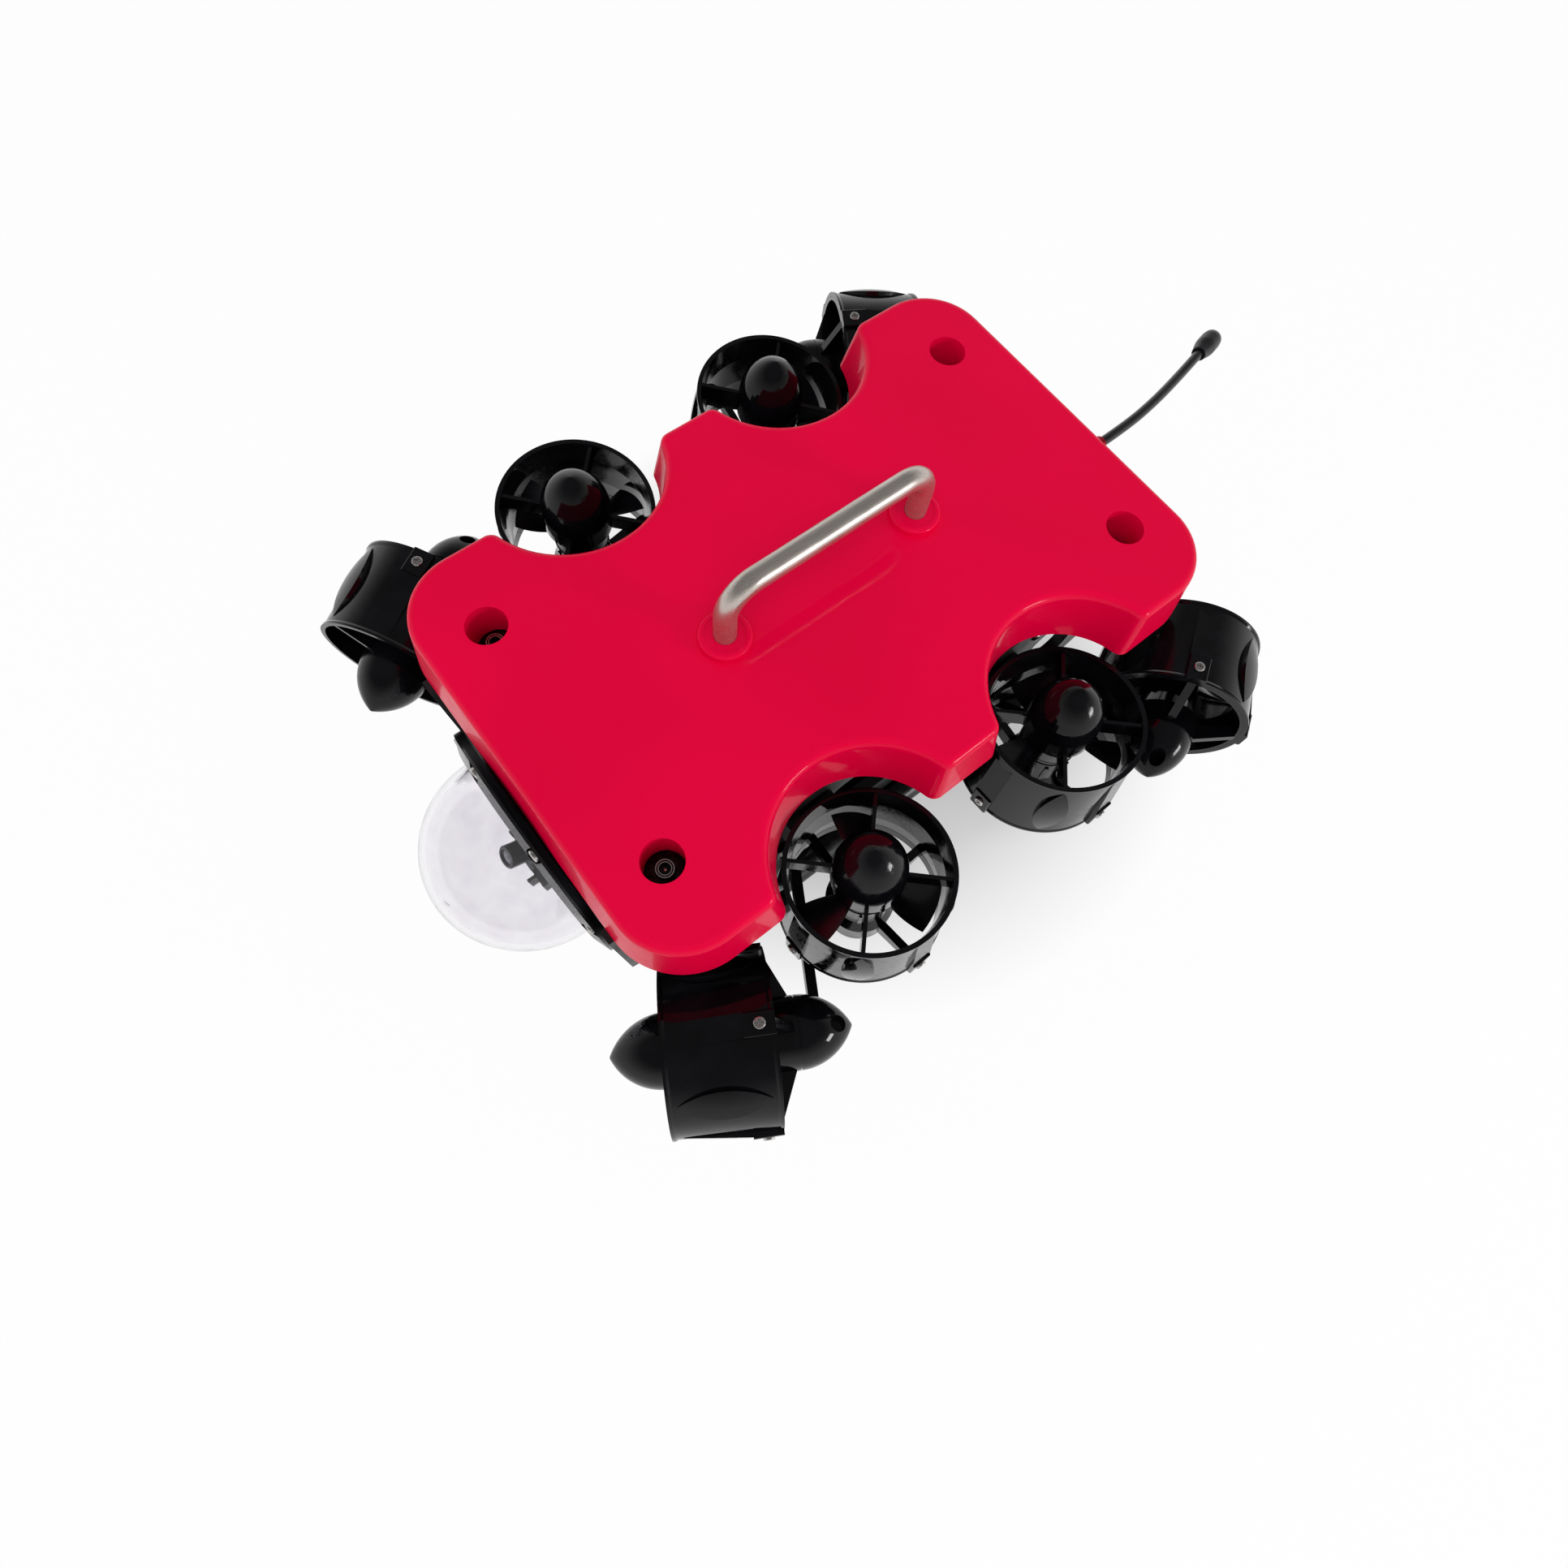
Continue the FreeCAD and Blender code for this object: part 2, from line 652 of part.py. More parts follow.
def make_side_plate(side, sy):
    """Side plate with three windows; its outer face is the datum."""
    body = new_body("side_plate_" + side)
    half = size.plate_length / 2
    top = size.float_top - size.float_thickness
    foot = size.plate_foot
    cut = size.plate_chamfer
    outline = [(cut - half, foot), (half - cut, foot), (half, foot + cut), (half, top),
               (-half, top), (-half, foot + cut)]
    pad(body, "plate", new_sketch(body, "outline", "XZ", outline), size.plate_thickness,
        backwards=sy < 0)
    middle = size.window_middle / 2
    near = middle + size.web_width
    spans = ((-middle, middle), (near, near + size.window_end), (-near - size.window_end, -near))
    for number, (left, right) in enumerate(spans):
        window = rounded_box(left, right, size.window_bottom, size.window_top, size.window_corner)
        cut_through(body, "window%d" % number,
                    new_sketch(body, "window_outline%d" % number, "XZ", window))
    keep(body, "side_plate_" + side, Placement(at(0, sy * num.plate_face, 0), Rotation()))


def make_rails():
    """Two skid rails with rounded ends, and the saddles that hold them to the side plates."""
    abeam = num.plate_face + num.rail_radius
    straight = num.rail_length / 2 - num.rail_radius
    for side, sy in PORT_AND_STARBOARD:
        front = at(straight, sy * abeam, num.rail_radius)
        rear = at(-straight, sy * abeam, num.rail_radius)
        rail = rod(num.rail_radius, rear, front)
        rail = rail.makeFillet(num.rail_radius / 3, [edge for edge in rail.Edges
                                                     if isinstance(edge.Curve, Part.Circle)])
        shape_node("skid_rail_" + side, rail)
    saddles = []
    for side, sy in PORT_AND_STARBOARD:
        for step in (-1, 0, 1):
            x = step * num.saddle_pitch
            half = num.saddle_length / 2
            low, high = sorted((sy * num.plate_face, sy * (abeam + num.rail_radius * 0.6)))
            saddle = block(x - half, x + half, low, high, num.rail_radius, num.rail_radius * 2.6)
            saddle.translate(at(0, 0, 0))
            groove = rod(num.rail_radius + num.slip_gap, at(-num.rail_length, sy * abeam,
                         num.rail_radius), at(num.rail_length, sy * abeam, num.rail_radius))
            saddles.append(largest(saddle.cut(groove)))
    shape_node("rail_saddles", Part.makeCompound(saddles))


def largest(shape):
    """The biggest solid of a cut."""
    return max(shape.Solids, key=lambda solid: solid.Volume)


def make_bulkhead(end, sx):
    """Bulkhead that holds the pressure tube between the side plates."""
    body = new_body(end + "_bulkhead")
    wide = inner_face()
    foot = size.payload_height + size.payload_thickness
    top = size.float_top - size.float_thickness - size.deck_thickness
    outline = rounded_box(-wide, wide, foot, top, size.window_corner / 2)
    pad(body, "plate", new_sketch(body, "outline", "YZ", outline), size.plate_thickness,
        symmetric=True)
    ring = new_sketch(body, "tube_hole", "YZ")
    circle = ring.addGeometry(Part.Circle(Vector(0, tube_axis(), 0), Vector(0, 0, 1), 1))
    bind(ring, circle, 3, "x", as_size(0))
    bind(ring, circle, 3, "y", size.float_top - size.tube_drop)
    radius = size.tube_radius + size.slip_gap
    number = ring.addConstraint(Sketcher.Constraint("Radius", circle, radius.value))
    ring.setExpression("Constraints[%d]" % number, radius.text)
    cut_through(body, "tube_seat", ring)
    keep(body, end + "_bulkhead", Placement(at(sx * num.bulkhead_pitch / 2, 0, 0), Rotation()))


def make_payload_plate():
    """Bottom plate with the four holes that a skid or tool bolts to."""
    body = new_body("payload_plate")
    half = size.payload_length / 2
    wide = inner_face()
    outline = rounded_box(-half, half, -wide, wide, size.payload_thickness)
    pad(body, "plate", new_sketch(body, "outline", "XY", outline), size.payload_thickness)
    for number, (sx, sy) in enumerate(CORNERS):
        cylinder(body, "hole%d" % number, size.payload_hole / 2, size.payload_thickness,
                 size.payload_pitch_x / 2 * sx, size.payload_pitch_y / 2 * sy, 0)
    keep(body, "payload_plate", Placement(at(0, 0, num.payload_height), Rotation()))


# ---------------------------------------------------------------- thrusters

def seat_radius():
    """Inside radius of the duct where the stator ring sits."""
    return size.duct_rear_radius - size.duct_wall


def ogive(hub, base, reach, way):
    """Profile of a round-tipped ogive, from its tip on the axis to its base ring."""
    tip = size.nose_tip
    tall, slim = reach - tip, hub - tip
    offset = (tall * tall - slim * slim) / (slim * 2)
    flank = hub + offset
    spread_out = flank / (flank - tip)
    joint = (offset * (spread_out - 1), base + tall * spread_out * way)
    return [(0, base + reach * way), Arc("y", base + tall * way, -way), joint,
            Arc("y", base, -way), (hub, base)]


def make_duct():
    """Flared duct with beaded rims, four screw tabs, low ridges and the four-armed nose spider."""
    body = new_body("duct_master")
    front, rear = size.duct_front_radius, size.duct_rear_radius
    wall, length = size.duct_wall, size.duct_length
    seat = seat_radius()
    guide = size.guide_radius
    bead = size.rim_bead
    shell = [(front - wall, 0), (front + bead, 0), (front + bead, -bead * 2), (front, -bead * 4),
             (rear, -length + bead * 4), (rear + bead, -length + bead * 2), (rear + bead, -length),
             (seat, -length),
             (seat, size.seat_ring_depth - length), (seat - wall, size.seat_ring_depth - length),
             (guide, -length * 0.6), (guide, -length * 0.25)]
    revolve(body, "shell", new_sketch(body, "shell_profile", "XZ", shell))
    arm = [(0, -1), (front - wall / 2, -1), (front - wall / 2, -size.spider_depth),
           (0, -size.spider_depth)]
    arm_sketch = new_sketch(body, "arm_profile", "XZ", arm)
    arm_sketch.AttachmentOffset = Placement(Vector(), Rotation(Vector(0, 1, 0), 45))
    arm_pad = pad(body, "arm", arm_sketch, size.spider_thickness, symmetric=True)
    spread(body, "arms", [arm_pad], 4)
    add_leaves(body)
    tab = rear + size.tab_height
    rib = [(rear - wall, -length), (tab, -length), (tab, size.tab_length - length),
           (tab - 1, size.tab_length - length), (front, -size.spider_depth / 2),
           (front - wall / 2, -size.spider_depth / 2), (front - wall / 2, -length * 0.25)]
    rib_pad = pad(body, "rib", new_sketch(body, "rib_profile", "XZ", rib), size.tab_width,
                  symmetric=True)
    spread(body, "ribs", [rib_pad], 4)
    dress(body, "PartDesign::Fillet", "tab_edges", tab_edges, "Radius", size.tab_edge)
    bore = [(0, -length), (seat, -length), (seat, size.seat_ring_depth - length),
            (seat - wall, size.seat_ring_depth - length), (guide, -length * 0.6),
            (guide, -size.spider_depth - 1), (0, -size.spider_depth - 1)]
    revolve(body, "bore", new_sketch(body, "bore_profile", "XZ", bore), cut=True)
    hub = size.pod_radius
    nose = ogive(hub, as_size(0), size.nose_length, 1)
    nose += [(hub, -size.spider_depth), (hub - 2, -size.spider_depth - 1.5),
             (0, -size.spider_depth - 1.5)]
    revolve(body, "nose", new_sketch(body, "nose_profile", "XZ", nose))
    return body


def add_leaves(body):
    """Four low leaf-shaped ridges on the outside of the duct, half way between the tabs."""
    front, rear, length = size.duct_front_radius, size.duct_rear_radius, size.duct_length
    near, far = -size.leaf_end, size.leaf_end - length
    half = (near - far) / 2
    offset = half * half / size.leaf_width - size.leaf_width / 4
    leaf = [(0, far), Arc("x", -offset, 1), (0, near), Arc("x", offset, 1)]
    sketch = new_sketch(body, "leaf_outline", "YZ", leaf)
    turn = Rotation(Vector(0, 1, 0), 45)
    start = num.duct_front_radius - num.duct_wall / 2
    sketch.AttachmentOffset = Placement(turn.multVec(Vector(0, 0, start)), turn)
    leaf_pad = pad(body, "leaf", sketch, size.leaf_height * 3 + rear - front)
    spread(body, "leaves", [leaf_pad], 4)
    slack = 0.3
    rise = size.leaf_height - slack + (rear - front) / 2
    middle = front + slack + (rear - front) / 2
    centre = middle - half * half / (rise * 2) + rise / 2
    beyond = rear + size.leaf_height * 4
    outside = [(rear + slack, far), Arc("x", centre, 1), (front + slack, near), (beyond, near),
               (beyond, far)]
    revolve(body, "leaf_crown", new_sketch(body, "crown_profile", "XZ", outside), cut=True)


def tab_edges(body):
    """Long outer edges of the four screw tabs."""
    found = []
    for number, edge in enumerate(body.Shape.Edges, start=1):
        box = edge.BoundBox
        reach = max(abs(box.Center.x), abs(box.Center.y))
        along = box.ZLength > num.tab_length - 0.1 and box.ZLength < num.tab_length + 0.1
        if along and reach > num.duct_rear_radius + num.tab_height - 0.01:
            found.append("Edge%d" % number)
    return found


def make_pod():
    """Ribbed motor, pod with cable port, stator ring and the four raked tail arms."""
    body = new_body("pod_master")
    length = size.duct_length
    hub, motor = size.pod_radius, size.motor_radius
    face = -size.spider_depth - 1.5 - size.running_gap * 2 - size.propeller_depth
    seam = -length - size.tail_cylinder
    tip = seam - size.tail_cone
    shaft_end = face + size.propeller_depth - size.running_gap
    pod = ogive(hub, seam, size.tail_cone, -1)
    slot = size.seam_groove
    pod += [(hub - slot, seam), (hub - slot, seam + slot), (hub, seam + slot),
            (hub, -length), (motor, size.seat_ring_depth - length), (motor, face),
            (size.shaft_radius, face), (size.shaft_radius, shaft_end), (0, shaft_end)]
    revolve(body, "pod", new_sketch(body, "pod_profile", "XZ", pod))
    seat = seat_radius() - size.slip_gap
    ring = [(seat - size.duct_wall, -length), (seat, -length),
            (seat, size.seat_ring_depth - length - size.slip_gap),
            (seat - size.duct_wall, size.seat_ring_depth - length - size.slip_gap)]
    arm = [(hub - 2, seam + 2), (hub - 2, seam + 13), (seat - 1, size.seat_ring_depth - length - 1),
           (seat - 1, -length)]
    arm_pad = pad(body, "arm", new_sketch(body, "arm_profile", "XZ", arm),
                  size.stator_thickness, symmetric=True)
    spread(body, "arms", [arm_pad], 4)
    revolve(body, "ring", new_sketch(body, "ring_profile", "XZ", ring))
    rib = [(motor - 1, face - 3), (motor + 0.9, face - 3),
           (motor + 0.9, size.seat_ring_depth - length + 1), (motor - 1,
           size.seat_ring_depth - length + 1)]
    rib_pad = pad(body, "rib", new_sketch(body, "rib_profile", "XZ", rib),
                  size.spider_thickness, symmetric=True)
    spread(body, "ribs", [rib_pad], 8)
    port = cylinder(body, "cable_port", size.cable_port / 2, hub, 0, 0, tip + size.cable_port)
    base = port.Placement.Base
    base.x = num.motor_radius * 0.3
    port.Placement = Placement(base, Rotation(Vector(0, 1, 0), 90))
    return body


def blade_section(radius, height, chord, pitch, camber):
    """Crescent blade section on a plane square to the blade at the given radius."""
    half = chord / 2
    across = Vector(0, math.cos(pitch), math.sin(pitch))
    normal = Vector(0, -math.sin(pitch), math.cos(pitch))
    middle = Vector(radius, 0, height)
    thin = camber * 0.35
    lead, trail = middle - across * half, middle + across * half
    back = Part.Arc(lead, middle + normal * camber, trail).toShape()
    face = Part.Arc(trail, middle + normal * thin, lead).toShape()
    return Part.Wire([back, face])


def make_propeller():
    """Hub with twisted, cambered blades lofted from crescent sections."""
    hub = num.propeller_hub
    deep = num.propeller_depth
    middle = -(num.spider_depth + 1.5 + num.running_gap + deep / 2)
    base = Vector(0, 0, middle - deep / 2)
    span = num.blade_tip - hub
    stations = ((hub - 1.5, 17, 52, 2.6), (hub + span / 2, 27, 35, 2.2),
                (num.blade_tip + 1, 30, 26, 1.2))
    wires = [blade_section(radius, middle, chord, math.radians(pitch), camber)
             for radius, chord, pitch, camber in stations]
    blade = Part.makeLoft(wires, True, False)
    blade = blade.common(Part.makeCylinder(num.blade_tip, deep, base))
    shape = Part.makeCylinder(hub, deep, base)
    count = int(num.blade_count)
    for number in range(count):
        turn = Placement(Vector(), Rotation(Vector(0, 0, 1), number * 360.0 / count))
        shape = shape.fuse(moved(blade, turn))
    line = num.bell_line
    for share in (0.15, 0.85):
        place = base + Vector(0, 0, deep * share - line)
        ring = Part.makeCylinder(hub + 0.2, line * 2, place)
        shape = shape.cut(ring.cut(Part.makeCylinder(hub - line, line * 2, place)))
    bore = Part.makeCylinder(num.shaft_radius + num.shaft_play, deep, base)
    return shape.cut(bore).removeSplitter()


def make_thrusters():
    """Eight thrusters from one duct, one pod and one propeller of either hand."""
    duct, pod = make_duct(), make_pod()
    doc.recompute()
    right = make_propeller()
    left = right.mirror(Vector(), Vector(1, 0, 0))
    for name, frame, hand in thruster_places():
        shape_node("duct_" + name, duct.Shape.copy(), frame)
        shape_node("pod_" + name, pod.Shape.copy(), frame)
        shape_node("propeller_" + name, (right if hand > 0 else left).copy(), frame)
    return pod.Shape


def make_struts(pod_shape):
    """Struts that carry the horizontal pods from the side plates."""
    struts = []
    for name, frame, hand in thruster_places():
        if not name.startswith("horizontal"):
            continue
        sy = 1 if name.endswith("port") else -1
        nose = frame.Rotation.multVec(Vector(0, 0, 1))
        behind = num.duct_length + num.tail_cylinder + num.arm_setback
        hold = frame.Base - nose * behind
        inboard = Vector(0, 0, 1).cross(nose)
        if inboard.y * sy > 0:
            inboard = inboard * -1
        turn = Rotation(nose, Vector(0, 0, 0), Vector(0, 0, 1), "ZXY")
        reach = (hold.y * sy - num.plate_face) / abs(inboard.y) + num.arm_thickness
        low, high = sorted((0, reach * turn.multVec(Vector(0, 1, 0)).dot(inboard)))
        half = num.arm_thickness / 2
        drop = num.pod_radius * 0.6
        strut = block(-half, half, low, high, -drop - num.arm_height, -drop)
        strut.Placement = Placement(hold, turn)
        foot_x = (hold + inboard * ((hold.y * sy - num.plate_face) / abs(inboard.y))).x
        long, thick = num.foot_length / 2, num.foot_thickness
        near, far = sorted((sy * num.plate_face, sy * (num.plate_face + thick)))
        height = hold.z - drop
        foot = block(foot_x - long, foot_x + long, near, far,
                     height - num.arm_height * 1.4, height + num.arm_height * 0.4)
        pod = moved(pod_shape, frame)
        behind_plate = block(foot_x - 99, foot_x + 99, *sorted((0, sy * num.plate_face)), 0, 190)
        strut = strut.fuse(foot).cut(pod).cut(behind_plate)
        struts.append(largest(strut).removeSplitter())
    shape_node("thruster_struts", Part.makeCompound(struts))


def make_cradles():
    """Cradles that seat the vertical ducts on the side plates."""
    cradles = []
    for name, frame, hand in thruster_places():
        if not name.startswith("vertical"):
            continue
        sy = 1 if name.endswith("port") else -1
        low = frame.Base.z - num.duct_length * 0.8
        half = num.cradle_width / 2
        near, far = sorted((sy * num.plate_face, sy * (num.plate_face + half)))
        cradle = block(frame.Base.x - half, frame.Base.x + half, near, far,
                       low, low + num.cradle_height)
        gap = num.slip_gap
        cone = Part.makeCone(num.duct_rear_radius + gap, num.duct_front_radius + gap,
                             num.duct_length, Vector(0, 0, -num.duct_length))
        tab = num.duct_rear_radius + num.tab_height + 0.4
        rib = num.tab_width / 2 + 0.5
        ribs = block(-rib, rib, -tab, tab, -num.duct_length, 0)
        cutter = moved(cone.fuse(ribs), frame)
        cradles.append(largest(cradle.cut(cutter)))
    shape_node("duct_cradles", Part.makeCompound(cradles))


# ---------------------------------------------------------------- pressure tube and dome

def make_tube():
    """Pressure tube from two cylinders."""
    outer = doc.addObject("Part::Cylinder", "tube_outside")
    outer.setExpression("Radius", size.tube_radius.text)
    outer.setExpression("Height", size.tube_length.text)
    inner = doc.addObject("Part::Cylinder", "tube_inside")
    inner.setExpression("Radius", (size.tube_radius - size.tube_wall).text)
    inner.setExpression("Height", size.tube_length.text)
    tube = doc.addObject("Part::Cut", "electronics_tube")
    tube.Base = outer
    tube.Tool = inner
    keep(tube, "electronics_tube", along_bow(num.tube_front - num.tube_length))


def plug_radius():
    return size.tube_radius - size.tube_wall - size.plug_gap


def make_front_flange():
    """Flange with its plug and two seal grooves in the front of the tube."""
    plug, cord = plug_radius(), size.seal_section
    groove = plug - cord * 0.8
    path = [(size.plug_bore, -size.plug_depth), (plug, -size.plug_depth), (plug, -cord * 5),
            (groove, -cord * 5), (groove, -cord * 4), (plug, -cord * 4), (plug, -cord * 3),
            (groove, -cord * 3), (groove, -cord * 2), (plug, -cord * 2), (plug, 0),
            (size.flange_radius, 0), (size.flange_radius, size.flange_thickness),
            (size.plug_bore, size.flange_thickness)]
    body = turned("front_flange", path)
    hole = cylinder(body, "screw_hole", size.ring_screw / 2, size.flange_thickness,
                    size.ring_bolt_circle, 0, 0)
    spread(body, "screw_holes", [hole], size.ring_bolt_count)
    turn_notches(body, num.tube_front)


def turn_notches(body, x):
    """Lays a ring on the tube axis with its screw holes half a step off the top."""
    place = along_bow(x)
    step = 180.0 / num.ring_bolt_count
    place.Rotation = place.Rotation.multiply(Rotation(Vector(0, 0, 1), step))
    keep(body, body.Label, place)


def make_dome():
    """Acrylic hemisphere on a short skirt with a flat lip."""
    radius, lip = size.dome_radius, size.lip_thickness
    inner = radius - size.dome_wall
    centre = lip + size.dome_skirt
    path = [(inner, 0), (size.lip_radius, 0), (size.lip_radius, lip), (radius, lip),
            (radius, centre), Arc("y", centre, 1), (0, centre + radius), (0, centre + inner),
            Arc("y", centre, -1), (inner, centre)]
    body = turned("camera_dome", path)
    keep(body, "camera_dome", along_bow(num.tube_front + num.flange_thickness))


def make_dome_ring():
    """Sloping retaining ring over the dome's lip, with an open notch for each screw head."""
    lip_gap = size.slip_gap * 2
    step = size.lip_thickness + size.slip_gap
    neck = size.dome_radius + 1
    floor = size.ring_edge
    path = [(size.lip_radius + lip_gap, 0), (size.flange_radius, 0), (size.flange_radius, floor),
            (size.lip_radius + 2, size.ring_thickness), (neck, size.ring_thickness),
            (neck, step), (size.lip_radius + lip_gap, step)]
    body = turned("dome_ring", path)
    notch = cylinder(body, "notch", size.notch_radius, size.ring_thickness,
                     size.ring_bolt_circle, 0, floor)
    slot = body.newObject("PartDesign::SubtractiveBox", "notch_mouth")
    slot.setExpression("Length", size.notch_radius.text + " * 2")
    slot.setExpression("Width", size.notch_radius.text + " * 2")
    slot.setExpression("Height", size.ring_thickness.text)
    put(slot, size.ring_bolt_circle, -size.notch_radius, floor)
    hole = cylinder(body, "screw_hole", size.ring_screw / 2 + size.slip_gap, size.ring_thickness,
                    size.ring_bolt_circle, 0, 0)
    spread(body, "notches", [notch, slot, hole], size.ring_bolt_count)
    turn_notches(body, num.tube_front + num.flange_thickness)


def make_dome_screws():
    """Pan head screws through the retaining ring into the flange."""
    radius = num.ring_screw / 2 - num.slip_gap / 2
    reach = num.ring_edge + num.flange_thickness - 1
    shank = Part.makeCylinder(radius, reach, Vector(0, 0, -reach))
    head = Part.makeCylinder(num.ring_screw * 0.9, num.ring_screw * 0.6)
    rim = [edge for edge in head.Edges if edge.BoundBox.ZMin > 0.1]
    head = head.makeFillet(num.ring_screw * 0.3, rim)
    one = shank.fuse(head)
    count = int(num.ring_bolt_count)
    base = along_bow(num.tube_front + num.flange_thickness + num.ring_edge)
    group = []
    for number in range(count):
        turn = Rotation(Vector(0, 0, 1), (number + 0.5) * 360.0 / count)
        spot = turn.multVec(Vector(num.ring_bolt_circle, 0, 0))
        group.append(moved(one, base.multiply(Placement(spot, turn))))
    shape_node("dome_ring_screws", Part.makeCompound(group))


def make_rear_cap():
    """Rear end cap with its plug, seal grooves and gland holes."""
    plug, cord = plug_radius(), size.seal_section
    groove = plug - cord * 0.8
    rim = size.tube_radius + 3
    cap = size.cap_thickness
    path = [(0, -cap), (rim - 1.5, -cap), (rim, -cap + 1.5), (rim, 0), (plug, 0), (plug, cord * 2),
            (groove, cord * 2), (groove, cord * 3), (plug, cord * 3), (plug, cord * 4),
            (groove, cord * 4), (groove, cord * 5), (plug, cord * 5), (plug, size.plug_depth),
            (0, size.plug_depth)]
    body = turned("rear_cap", path)
    hole = cylinder(body, "gland_hole", size.gland_radius * 0.6, cap + size.plug_depth,
                    size.gland_circle, 0, -cap)
    spread(body, "gland_holes", [hole], size.gland_count)
    keep(body, "rear_cap", along_bow(num.tube_front - num.tube_length))


def make_seals():
    """Seal cords in the four grooves of the two plugs."""
    radius = num.tube_radius - num.tube_wall - num.plug_gap - num.seal_section * 0.4
    section = num.seal_section * 0.39
    rings = []
    for end, ways in ((num.tube_front, -1), (num.tube_front - num.tube_length, 1)):
        for step in (2.5, 4.5):
            ring = Part.makeTorus(radius, section)
            place = along_bow(end + ways * step * num.seal_section)
            rings.append(moved(ring, place))
    shape_node("tube_seals", Part.makeCompound(rings))


def make_glands():
    """Cable glands on the rear cap: hexagon nut and a stub in the hole."""
    count = int(num.gland_count)
    radius = num.gland_radius
    corners = [Vector(radius * math.cos(math.radians(60 * k)), radius * math.sin(math.radians(60 * k)), 0)
               for k in range(7)]
    nut = Part.Face(Part.makePolygon(corners)).extrude(Vector(0, 0, -num.gland_length * 0.4))
    dome = Part.makeCone(radius * 0.8, radius * 0.45, num.gland_length * 0.6,
                         Vector(0, 0, -num.gland_length * 0.4), Vector(0, 0, -1))
    stub = Part.makeCylinder(radius * 0.6 - num.slip_gap, num.cap_thickness)
    one = nut.fuse(dome).fuse(stub).removeSplitter()
    base = along_bow(num.tube_front - num.tube_length - num.cap_thickness)
    group = []
    for number in range(count):
        turn = Rotation(Vector(0, 0, 1), number * 360.0 / count)
        spot = turn.multVec(Vector(num.gland_circle, 0, 0))
        group.append(moved(one, base.multiply(Placement(spot, turn))))
    shape_node("cable_glands", Part.makeCompound(group))


# ---------------------------------------------------------------- inside the tube

def tray_top():
    return tube_axis() - num.tray_drop


def make_tray():
    """Tray that slides along the tube between the two plugs."""
    inside = num.tube_radius - num.tube_wall - 0.3
    low = num.tray_drop + num.tray_thickness
    half = math.sqrt(inside ** 2 - low ** 2)
    rear = num.tube_front - num.tube_length + num.plug_depth
    front = num.tube_front - num.plug_depth
    tray = block(rear, front, -half, half, tray_top() - num.tray_thickness, tray_top())
    nose = block(front, dome_centre() - 18, -plug_slot(), plug_slot(),
                 tray_top() - num.tray_thickness, tray_top())
    tray = tray.fuse(nose).removeSplitter()
    tray.translate(at(0, 0, 0))
    shape_node("electronics_tray", tray)


def plug_slot():
    """Half width of the tray's tongue through the front plug."""
    return num.camera_width


def make_inside():
    """Battery pack under the tray and the control boards on it."""
    rear = num.tube_front - num.tube_length + num.plug_depth
    under = tray_top() - num.tray_thickness
    battery = block(rear + 20, rear + 170, -24, 24, under - 33, under)
    battery = battery.makeFillet(6, [edge for edge in battery.Edges if edge.BoundBox.XLength > 99])
    battery.translate(at(0, 0, 0))
    shape_node("battery_pack", battery)
    board = block(rear + 60, rear + 190, -35, 35, tray_top() + 8, tray_top() + 10)
    posts = [rod(2.5, Vector(x, y, tray_top()), Vector(x, y, tray_top() + 8))
             for x in (rear + 66, rear + 184) for y in (-30, 30)]
    board = board.fuse(posts)
    chips = [block(x, x + 24, -14, 14, tray_top() + 10, tray_top() + 14)
             for x in (rear + 75, rear + 110, rear + 145)]
    board = board.fuse(chips).removeSplitter()
    board.translate(at(0, 0, 0))
    shape_node("control_board", board)


def make_camera():
    """Camera housing with trunnions, its lens, the fixed bracket and the tilt servo."""
    half = num.camera_width / 2
    back = num.camera_depth
    housing = block(-back, 2, -half, half, -half, half)
    barrel = Part.makeCylinder(num.barrel_radius, num.barrel_length, Vector(2, 0, 0),
                               Vector(1, 0, 0))
    reach = half + num.bracket_gap + num.bracket_thickness
    pin = rod(num.trunnion_radius, Vector(0, -reach, 0), Vector(0, reach, 0))
    pocket = Part.makeCylinder(num.lens_radius + 0.1, 3, Vector(num.barrel_length - 1, 0, 0),
                               Vector(1, 0, 0))
    body = housing.fuse([barrel, pin]).cut(pocket).removeSplitter()
    lens = Part.makeCylinder(num.lens_radius, 2, Vector(num.barrel_length - 1, 0, 0),
                             Vector(1, 0, 0))
    pivot = at(dome_centre(), 0, tube_axis())
    tilt = Placement(pivot, Rotation(Vector(0, 1, 0), -num.camera_rise))
    shape_node("camera_body", body, tilt)
    shape_node("camera_lens", lens, tilt)
    inner = half + num.bracket_gap
    outer = inner + num.bracket_thickness
    heel = -back - half - 4
    floor = tray_top() - tube_axis()
    base = block(heel - 3, heel + 8, -outer, outer, floor, floor + 3)
    arms = []
    for sy in (1, -1):
        low, high = sorted((sy * inner, sy * outer))
        arm = block(heel - 3, 4, low, high, floor, 5)
        arm = arm.cut(block(-9, 9, low, high, floor - 1, floor + 4))
        arms.append(arm)
    bracket = base.fuse(arms)
    eye = rod(num.trunnion_radius + num.trunnion_play, Vector(0, -reach - 1, 0),
              Vector(0, reach + 1, 0))
    bracket = bracket.cut(eye).removeSplitter()
    shape_node("camera_bracket", bracket, Placement(pivot, Rotation()))
    servo = block(-16, 6, outer + 0.3, outer + 12.3, -6, 6)
    servo = servo.fuse(block(-21, 11, outer + 3.3, outer + 5.3, -6, 6))
    servo = servo.fuse(block(-16, -10, outer, outer + 0.3, -4, 4)).removeSplitter()
    shape_node("tilt_servo", servo, Placement(pivot, Rotation()))


# ---------------------------------------------------------------- tether

